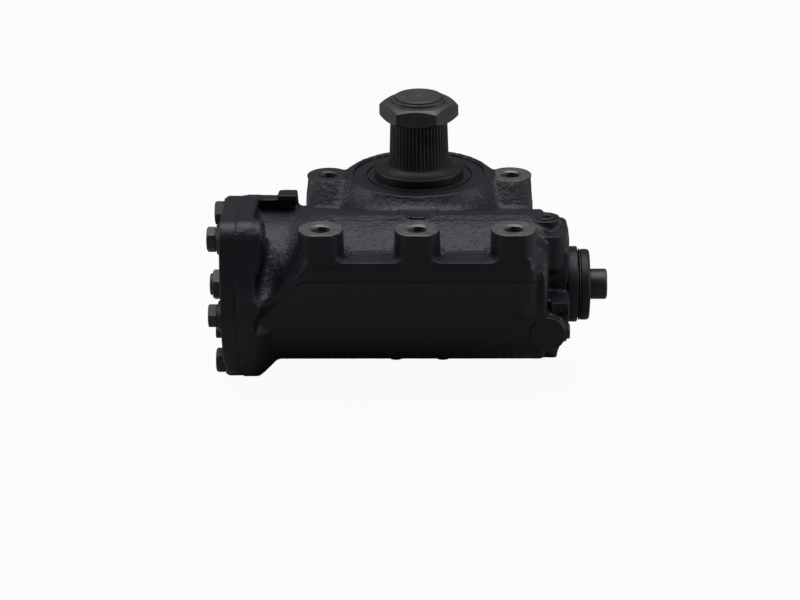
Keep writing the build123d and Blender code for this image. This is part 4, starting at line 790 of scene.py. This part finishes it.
def run_tree(net, carrier, settings):
    """Runs a tree on a carrier object and returns the result as a plain mesh."""
    modifier = carrier.modifiers.new("make", "NODES")
    modifier.node_group = net.tree
    names = {item.name: item.identifier for item in net.tree.interface.items_tree if item.in_out == "INPUT"}
    for label, value in settings.items():
        modifier[names[label]] = value
    graph = bpy.context.evaluated_depsgraph_get()
    mesh = bpy.data.meshes.new_from_object(carrier.evaluated_get(graph))
    carrier.modifiers.remove(modifier)
    return mesh


def end_tree(net, geometry, material):
    """Closes a tree with Realize Instances and Set Material."""
    real = net.add("GeometryNodeRealizeInstances", None, (geometry,))
    done = net.add("GeometryNodeSetMaterial", None, {"Geometry": real, "Material": material})
    net.add("NodeGroupOutput", None, (done,))


def fastener_tree():
    """Sets one fastener on every point, each with its own roll about its axis."""
    net, given = new_tree("fasteners", [
        ("Places", "NodeSocketGeometry"), ("Fastener", "NodeSocketObject"), ("Facing", "NodeSocketVector"),
        ("Seed", "NodeSocketInt"), ("Finish", "NodeSocketMaterial")])
    part = net.add("GeometryNodeObjectInfo", {"transform_space": "ORIGINAL"},
                   {"Object": given.out("Fastener")}, "Geometry")
    roll = net.add("FunctionNodeRandomValue", {"data_type": "FLOAT"},
                   {"Min": 0.0, "Max": math.pi / 3, "Seed": given.out("Seed")}, 1)
    spin = net.add("ShaderNodeCombineXYZ", None, (0.0, 0.0, roll))
    own = net.add("FunctionNodeEulerToRotation", None, (spin,))
    facing = net.add("FunctionNodeEulerToRotation", None, (given.out("Facing"),))
    turn = net.add("FunctionNodeRotateRotation", {"rotation_space": "LOCAL"}, (facing, own))
    many = net.add("GeometryNodeInstanceOnPoints", None,
                   {"Points": given.out("Places"), "Instance": part, "Rotation": turn})
    end_tree(net, many, given.out("Finish"))
    return net


def thread_tree():
    """A tapped thread on every point: a closed sleeve whose inner wall goes in and out once per pitch."""
    net, given = new_tree("tapped_threads", [
        ("Places", "NodeSocketGeometry"), ("Radius", "NodeSocketFloat"), ("Depth", "NodeSocketFloat"),
        ("Pitch", "NodeSocketFloat"), ("Length", "NodeSocketFloat"), ("Around", "NodeSocketInt"),
        ("Rows", "NodeSocketInt"), ("Finish", "NodeSocketMaterial")])
    sheet = net.add("GeometryNodeMeshGrid", None,
                    (1.0, 1.0, given.out("Around"), given.out("Rows")))
    spot = net.add("ShaderNodeSeparateXYZ", None, (net.add("GeometryNodeInputPosition"),))
    angle = (spot.out("X") + 0.5) * TURN
    back = spot.out("Y").math("ABSOLUTE").math("GREATER_THAN", 0.4999)
    height = (spot.out("Y") * (1.0 - back) - 0.5) * given.out("Length")
    phase = height / given.out("Pitch") - (spot.out("X") + 0.5)
    tooth = phase.math("PINGPONG", 0.5) * 2.0
    wall = given.out("Radius") - given.out("Depth") * tooth.math("SMOOTH_MIN", 0.85, 0.2)
    radius = wall * (1.0 - back) + (given.out("Radius") + 0.00055) * back
    across, deep = angle.math("COSINE") * radius, angle.math("SINE") * radius
    spread = net.add("ShaderNodeCombineXYZ", None, (across, deep, height))
    wall = net.add("GeometryNodeSetPosition", None, {"Geometry": sheet, "Position": spread})
    wall = net.add("GeometryNodeMergeByDistance", None, {"Geometry": wall, "Distance": 0.00001})
    many = net.add("GeometryNodeInstanceOnPoints", None,
                   {"Points": given.out("Places"), "Instance": wall})
    end_tree(net, many, given.out("Finish"))
    return net


def carrier_of(places):
    """A helper object with one loose point for each place, in millimetres."""
    mesh = bpy.data.meshes.new("places")
    mesh.from_pydata([tuple(value * MM for value in place) for place in places], [], [])
    return linked("places", mesh)


def helper_part(solid):
    """A fastener at the origin, for a tree to copy."""
    points, faces = solid
    mesh = bpy.data.meshes.new("fastener")
    mesh.from_pydata((np.asarray(points) * MM).tolist(), [], [list(face) for face in faces])
    mesh.shade_smooth()
    mesh.set_sharp_from_angle(angle=math.radians(SHARP))
    return linked("fastener", mesh)


def fasten(name, solid, places, facing, stands_for, seed):
    """Copies of one fastener at many places, as one piece."""
    helper, part = carrier_of(places), helper_part(solid)
    angles = {"left": (0.0, -math.pi / 2, 0.0), "down": (math.pi, 0.0, 0.0)}
    settings = {"Fastener": part, "Facing": angles[facing], "Seed": seed, "Finish": BOLT_STEEL}
    mesh = run_tree(FASTENERS, helper, settings)
    mesh.name = name
    for extra in (helper, part):
        bpy.data.objects.remove(extra)
    enrol(name, mesh, "dark_steel", "case", stands_for, BOLT_STEEL)


FASTENERS = fastener_tree()
THREADS = thread_tree()


# ---- the pieces
def mount_faces():
    """The machined faces of the five bosses, each with its countersink."""
    solids, rings, edges = [], [], []
    angles = np.arange(FACE_STEPS) * TURN / FACE_STEPS
    for centre_x, centre_y in mount_places():
        rim = np.full(FACE_STEPS, BOSS_R - 0.5)
        if centre_y == FRONT_BOSS_Y:
            rim = np.minimum(rim, 19.0 / np.maximum(-np.sin(angles), 0.01))
        elif centre_x > 0:
            toward, aside = -np.cos(angles), np.abs(np.sin(angles))
            bridge = np.minimum(26.0 / np.maximum(toward, 0.01), 12.5 / np.maximum(aside, 0.01))
            rim = np.where(toward > 0, np.maximum(rim, bridge), rim)
        rows = [(THREAD_MAJOR_R - 0.9, -1.9), (THREAD_MAJOR_R + 0.9, -0.1), (THREAD_MAJOR_R + 1.1, 0.0)]
        width = rim - THREAD_MAJOR_R - 1.5
        rows += [(THREAD_MAJOR_R + 1.1 + width * share, 0.0) for share in np.linspace(0.1, 1, 10)]
        rows += [(rim, -0.25), (rim, -1.9)]
        points, faces = shell(rows, FACE_STEPS)
        radius = np.hypot(points[:, 0], points[:, 1])
        rings.append(radius * MM)
        wander = ripple(points[:, 0], points[:, 1], centre_x + centre_y, 9, 21)
        painted = centre_y == 0 and centre_x < 0
        edges.append(np.clip((radius - BOSS_R + 0.9 + 0.4 * wander) / 0.6, 1.0 * painted, 1))
        solids.append((points + (centre_x, centre_y, 0), faces))
    points, faces = joined(*solids)
    add_piece("mount_faces", points, faces, "bare_iron", stands_for=("housing",), sharp=40,
              marks={"ring": np.concatenate(rings), "edge": np.concatenate(edges)})


def mount_threads():
    """The M20 threads of the bosses and the floors of their holes."""
    helper = carrier_of([(x, y, -1.2) for x, y in mount_places()])
    mesh = run_tree(THREADS, helper, {
        "Radius": THREAD_MAJOR_R * MM, "Depth": 1.1 * MM, "Pitch": 2.5 * MM, "Length": 36 * MM,
        "Around": 41, "Rows": 100, "Finish": FINISHES["dark_steel"]})
    bpy.data.objects.remove(helper)
    mesh.name = "mount_threads"
    mesh.shade_smooth()
    enrol("mount_threads", mesh, "dark_steel", "case", ("housing",))
    disc = shell([(0, -37), (10.4, -37), (10.4, -40), (0, -40)], 48)
    floors = [placed(disc, x, y, 0) for x, y in mount_places()]
    add_piece("mount_hole_floors", *joined(*floors), "dark_steel", stands_for=("housing",))


def tower_face():
    """The turned top of the tower, with its groove and its outer radius."""
    outline = [(43.0, -4.0), (43.0, 0.0), (52.4, 0.0), (52.4, -1.8), (54.2, -1.8), (54.2, 0.0), (67.4, 0.0),
               (67.4, -4.0)]
    points, faces = shell(outline, 160)
    add_piece("tower_face", points, faces, "painted_casting", stands_for=("housing",),
              marks={"grain": np.full(len(points), 0.12)})


def cover_joint():
    """The thin dark joint between the end cover and the housing flange."""
    outline = hull_outline((BORE_Y, BORE_Z - 1.5, FLANGE_R - 2.0), (EAR_Y, EAR_Z, EAR_R - 0.5))
    count = len(outline)
    points = [(x, y, z) for x in (BARREL_LEFT - 1.3, BARREL_LEFT + 1.3) for y, z in outline]
    faces = [tuple(range(count)), tuple(range(2 * count - 1, count - 1, -1))]
    faces += [(this, this + count, (this + 1) % count + count, (this + 1) % count) for this in range(count)]
    add_piece("cover_joint", *outward(points, faces), "black_paint", stands_for=("end_cover_seal",),
              finish=JOINT)


def hull_outline(large, small):
    """Points round the hull of a large and a small circle, each (u, v, radius)."""
    large_steps, small_steps = 64, 16
    (u1, v1, r1), (u2, v2, r2) = large, small
    heading = math.atan2(v2 - v1, u2 - u1)
    lean = math.acos((r1 - r2) / math.hypot(u2 - u1, v2 - v1))
    turns = [heading + lean + (TURN - 2 * lean) * step / large_steps for step in range(large_steps + 1)]
    points = [(u1 + r1 * math.cos(turn), v1 + r1 * math.sin(turn)) for turn in turns]
    turns = [heading - lean + 2 * lean * step / small_steps for step in range(small_steps + 1)]
    return points + [(u2 + r2 * math.cos(turn), v2 + r2 * math.sin(turn)) for turn in turns]


def dust_cover():
    """The conical dust cover round the output shaft."""
    outline = [(30.75, 0.4), (45.1, 0.4), (45.4, 7.9), (44.8, 8.9), (43.4, 9.0), (40.6, 9.3), (37.2, 10.6),
               (34.2, 12.6), (33.0, 13.6), (30.75, 13.7)]
    add_piece("output_dust_cap", *turned(outline, 0.5, 128), "black_rubber",
              stands_for=("output_dust_cover",))


def pitman_nut():
    """The large nut on the output shaft, with its thin collar."""
    hole, count = SHAFT_THREAD_R + 0.1, 192
    nut = hexagon(70.0, 18.5, hole, both=True, count=count, roll=-3.0)
    collar = [(27.9, 18.5), (27.6, 18.8), (27.4, 21.6), (27.0, 22.0), (25.2, 22.0), (hole, 21.2)]
    rows = nut[:-4] + collar + nut[-2:]
    add_piece("pitman_nut_body", *placed(shell(rows, count), 0, 0, NUT_BOTTOM_Z), "dark_steel", "output",
              ("pitman_nut",), sharp=25)


def shaft_thread():
    """The turns of thread that show on the shaft above the nut, and the shaft's turned end."""
    low, high, pitch, major_r, depth = 81.4, 84.0, 1.5, 23.85, 0.55
    angles = np.arange(FACE_STEPS) * TURN / FACE_STEPS
    rows = [(0.0, low)]
    for height in np.linspace(low, high, 14):
        phase = (height / pitch - angles / TURN) % 1.0
        rows.append((major_r - depth * np.abs(2 * phase - 1), height))
    rows.append((0.0, high))
    add_piece("shaft_thread", *shell(rows, FACE_STEPS), "dark_steel", "output", sharp=50)
    outline = [(0, 83.6), (22.8, 83.6), (22.8, 84.1), (22.4, 84.45), (0, 84.45)]
    add_piece("shaft_end_face", *turned(outline, 0.15), "dark_steel", "output", finish=SHAFT_END)


def end_bolts():
    """The six bolts of the end cover."""
    solid = bolt(hexagon(22.0, 9.4, washer=0.9, dish=0.5), (6.6, -36.0), (7.0, -35.4), (7.0, 0.0))
    places = [(END_PAD_X, y, z) for y, z in END_BOLTS]
    fasten("end_cover_bolt_set", solid, places, "left", ("end_cover_bolts",), 4)


def side_bolts():
    """The eight bolts of the side cover."""
    solid = bolt(hexagon(16.0, 6.4, washer=0.6, dish=0.4), (5.0, -24.0), (5.0, 0.0))
    turns = [math.radians((index + 0.5) * 45) for index in range(8)]
    places = [(SIDE_BOLT_CIRCLE_R * math.cos(turn), SIDE_BOLT_CIRCLE_R * math.sin(turn), COVER_OUTER_Z)
              for turn in turns]
    fasten("side_cover_bolt_set", solid, places, "down", ("side_cover_bolts",), 9)


def side_cover():
    """The round cover under the sector: a rim, a dished web and a central boss."""
    outline = [(8.1, -2.0), (8.1, 10.0), (22.0, 10.0), (24.0, 7.0), (50.0, 6.2), (53.5, 10.0), (70.5, 10.0),
               (72.0, 8.5), (72.0, 0.0), (54.0, 0.0), (54.0, -8.0), (40.0, -8.0), (38.0, -2.0)]
    solid = placed(turned(outline, 0.8, 160), 0, 0, COVER_SEAT_Z, "down")
    add_piece("side_cover_disc", *solid, "painted_casting", stands_for=("side_cover",))


def adjuster():
    """The locknut of the adjusting screw, under the side cover."""
    nut = hexagon(24.0, 5.6, 8.05, both=True)
    add_piece("adjusting_nut", *placed(shell(nut, FACE_STEPS), 0, 0, COVER_OUTER_Z, "down"), "dark_steel",
              stands_for=("adjusting_locknut",))


def stroke_stop():
    """The locknut and the socket-headed stop screw in the middle of the end cover."""
    nut = hexagon(28.0, 11.6, 11.05, both=True)
    add_piece("stroke_nut", *placed(shell(nut, FACE_STEPS), END_PAD_X, BORE_Y, BORE_Z, "left"), "dark_steel",
              stands_for=("stroke_locknut",))
    socket = hex_radius(10.0, 96)
    rows = [(0.0, -24.0), (11.0, -24.0), (11.0, 13.4), (10.4, 14.2), (9.9, 14.5), (socket + 0.5, 14.5),
            (socket, 14.0), (socket, 7.5), (0.0, 6.5)]
    add_piece("stroke_stud", *placed(shell(rows, 96), END_PAD_X, BORE_Y, BORE_Z, "left"), "dark_steel",
              stands_for=("stroke_screw",))


def small_plugs():
    """The hexagon plug of the end cover, and the socket plug and the hexagon plug of the valve end."""
    head = hexagon(14.0, 7.0, washer=1.0, dish=0.4)
    head[-5:] = [(radius, height + 4.6) for radius, height in head[-5:]]
    solid = bolt(head, (6.0, -10.0), (6.0, 0.0))
    add_piece("cover_plug_head", *placed(solid, END_FACE_X, COVER_PLUG_Y, COVER_PLUG_Z, "left"), "dark_steel",
              stands_for=("cover_plug",), finish=BOLT_STEEL)
    socket = hex_radius(8.0, 72)
    rows = [(0, -8), (9.4, -8), (9.4, 0.2), (8.8, 0.7), (6.2, 0.7), (5.4, 0.1), (socket + 0.3, 0.1),
            (socket, -0.2), (socket, -5), (0, -5)]
    solid = placed(shell(rows, 72), PORT_PLUG_X, PORT_PLUG_Y, PORT_TOP_Z)
    add_piece("port_plug", *solid, "painted_casting", stands_for=("pressure_port_plug",),
              finish=FINISHES["black_paint"])
    turn = math.radians(END_PLUG_ANGLE)
    y, z = BORE_Y + END_PLUG_CIRCLE_R * math.cos(turn), BORE_Z + END_PLUG_CIRCLE_R * math.sin(turn)
    solid = bolt(hexagon(14.5, 4.6, washer=0.6, dish=0.3), (5.5, -10.0), (5.5, 0.0))
    add_piece("end_plug_head", *placed(solid, END_PLUG_SEAT, y, z, "right"), "dark_steel",
              stands_for=("end_plug",), finish=BLACKED)


def front_plug():
    """The large flush plug low at the front, domed at its rim."""
    rim = FRONT_PLUG_R
    outline = [(rim - 0.2, 0), (rim, 5.6), (rim - 0.8, 6.7), (rim - 2.6, 7.0), (rim - 3.4, 6.6)]
    rows = [(0.0, -14.0), (12.0, -14.0)] + eased(outline, 0.4) + [(0.0, 6.4)]
    solid = placed(shell(rows, 128), FRONT_PLUG_X, FRONT_PLUG_Y + 7, FRONT_PLUG_Z, "front")
    add_piece("front_plug_cap", *solid, "painted_casting", stands_for=("front_plug",))


def input_end():
    """The cover round the input shaft, and the round shield with its band."""
    outline = [(37.9, 0.0), (37.9, 9.4), (36.8, 10.1), (31.0, 10.1), (30.0, 9.0), (24.0, 9.0), (23.0, 10.1),
               (19.0, 10.1)]
    rows = eased(outline, 0.5) + [(17.6, 10.1), (17.6, -7.4), (29.8, -7.4), (29.8, 0.0)]
    solid = placed(shell(rows, 128), VALVE_RIGHT, BORE_Y, BORE_Z, "right")
    add_piece("input_cover_ring", *solid, "painted_casting", stands_for=("input_cover",))
    shield = [(16.1, 0.6), (33.0, 0.6), (34.8, 1.0), (35.5, 2.2), (35.5, 6.6), (35.0, 9.0), (33.6, 10.2),
              (29.0, 10.2), (27.5, 8.8), (21.5, 8.8), (20.0, 10.2), (16.1, 10.2)]
    solid = placed(turned(shield, 0.7, 128), SHIELD_LEFT, BORE_Y, SHIELD_Z, "right")
    add_piece("input_shield", *solid, "black_rubber", "input", ("input_dust_disc",))
    band = [(28.0, 0.0), (35.2, 0.0), (35.9, 0.3), (35.9, 0.8), (35.2, 1.1), (28.0, 1.1)]
    solid = placed(turned(band, 0.2, 128), SHIELD_LEFT - 0.4, BORE_Y, SHIELD_Z, "right")
    add_piece("shield_band", *solid, "bright_steel", "input", ("input_dust_disc",),
              finish=FINISHES["dark_steel"])


def dress_cad_nodes():
    """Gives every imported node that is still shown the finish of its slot."""
    for name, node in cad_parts.items():
        if node.type != "MESH":
            continue
        for place in node.material_slots:
            given = place.material.name if place.material else ""
            key = next((slot for slot in FINISHES if slot in given), "dark_steel")
            place.material = BLACKED if name == "input_shaft" else FINISHES[key]


# ---- studio
FOCAL, DISTANCE = 2400.0, 2452.0
ELEVATION, AZIMUTH, ROLL = math.radians(22.5), math.radians(1.4), math.radians(-0.6)
SENSOR, FRAME_WIDTH, FRAME_HEIGHT = 36.0, 800.0, 600.0
ORIGIN_PIXEL_X, ORIGIN_PIXEL_Y = 419.2, 174.3
OFF_X, OFF_Y = ORIGIN_PIXEL_X - FRAME_WIDTH / 2, FRAME_HEIGHT / 2 - ORIGIN_PIXEL_Y


def studio_camera():
    """The camera: a long lens, a little above the gear."""
    back = Vector((math.sin(AZIMUTH) * math.cos(ELEVATION), -math.cos(AZIMUTH) * math.cos(ELEVATION),
                   math.sin(ELEVATION)))
    level = Vector((math.cos(AZIMUTH), math.sin(AZIMUTH), 0))
    upright = back.cross(level)
    right = level * math.cos(ROLL) + upright * math.sin(ROLL)
    up = upright * math.cos(ROLL) - level * math.sin(ROLL)
    place = (back * DISTANCE - right * (OFF_X * DISTANCE / FOCAL) - up * (OFF_Y * DISTANCE / FOCAL)) * MM
    data = bpy.data.cameras.new("studio_camera")
    data.sensor_width = SENSOR
    data.lens = FOCAL * SENSOR / FRAME_WIDTH
    data.clip_end = 50.0
    camera = linked("studio_camera", data)
    camera.matrix_world = Matrix(((right.x, up.x, back.x, place.x), (right.y, up.y, back.y, place.y),
                                  (right.z, up.z, back.z, place.z), (0, 0, 0, 1)))
    bpy.context.scene.camera = camera


def studio_floor():
    """A pale floor that stays near white and keeps a soft shadow."""
    mesh = bpy.data.meshes.new("studio_floor")
    side, level = 12.0, REST_Z * MM - 0.0004
    corners = [(-side, -side, level), (side, -side, level), (side, side, level), (-side, side, level)]
    mesh.from_pydata(corners, [], [(0, 1, 2, 3)])
    floor = linked("studio_floor", mesh)
    material = bpy.data.materials.new("studio_floor")
    material.use_nodes = True
    net = Net(material.node_tree)
    path = net.add("ShaderNodeLightPath")
    plain = net.add("ShaderNodeBsdfDiffuse", None, {"Color": (0.3, 0.3, 0.3, 1.0)})
    white = net.add("ShaderNodeEmission", None, {"Color": (1.0, 1.0, 1.0, 1.0), "Strength": 1.0})
    share = path.out("Is Camera Ray") * 0.95
    both = net.add("ShaderNodeMixShader", None, (share, plain, white))
    net.add("ShaderNodeOutputMaterial", None, (both,))
    mesh.materials.append(material)


def soft_box(name, place, aim, width, height, power):
    """A soft lamp that looks at a point."""
    data = bpy.data.lights.new(name, "AREA")
    data.shape = "RECTANGLE"
    data.size, data.size_y, data.energy = width, height, power
    lamp = linked(name, data)
    lamp.location = place
    lamp.rotation_euler = (Vector(aim) - Vector(place)).to_track_quat("-Z", "Y").to_euler()


def studio_light():
    """A large soft box overhead, two weak fills and a plain surround."""
    soft_box("top_box", (-0.1, 0.12, 1.7), (-0.1, 0.12, 0.0), 2.0, 1.7, 43.0)
    soft_box("left_fill", (-1.9, 0.1, 0.6), (0.0, 0.0, 0.0), 1.0, 1.2, 13.0)
    soft_box("right_fill", (1.9, -0.1, 0.6), (0.0, 0.0, 0.0), 1.0, 1.2, 14.0)
    world = bpy.data.worlds.new("surround")
    world.use_nodes = True
    net = Net(world.node_tree)
    path = net.add("ShaderNodeLightPath")
    seen = path.out("Is Camera Ray")
    grey = net.add("ShaderNodeBackground", None, {"Color": (1.0, 1.0, 1.0, 1.0), "Strength": 0.14})
    white = net.add("ShaderNodeBackground", None, {"Color": (1.0, 1.0, 1.0, 1.0), "Strength": 1.0})
    both = net.add("ShaderNodeMixShader", None, (seen, grey, white))
    net.add("ShaderNodeOutputWorld", None, (both,))
    bpy.context.scene.world = world
    bpy.context.scene.view_settings.view_transform = "Standard"


dress_cad_nodes()
cast_housing()
cast_end_cover()
mount_faces()
mount_threads()
tower_face()
cover_joint()
dust_cover()
pitman_nut()
shaft_thread()
end_bolts()
side_bolts()
side_cover()
adjuster()
stroke_stop()
small_plugs()
front_plug()
input_end()
studio_camera()
studio_floor()
studio_light()
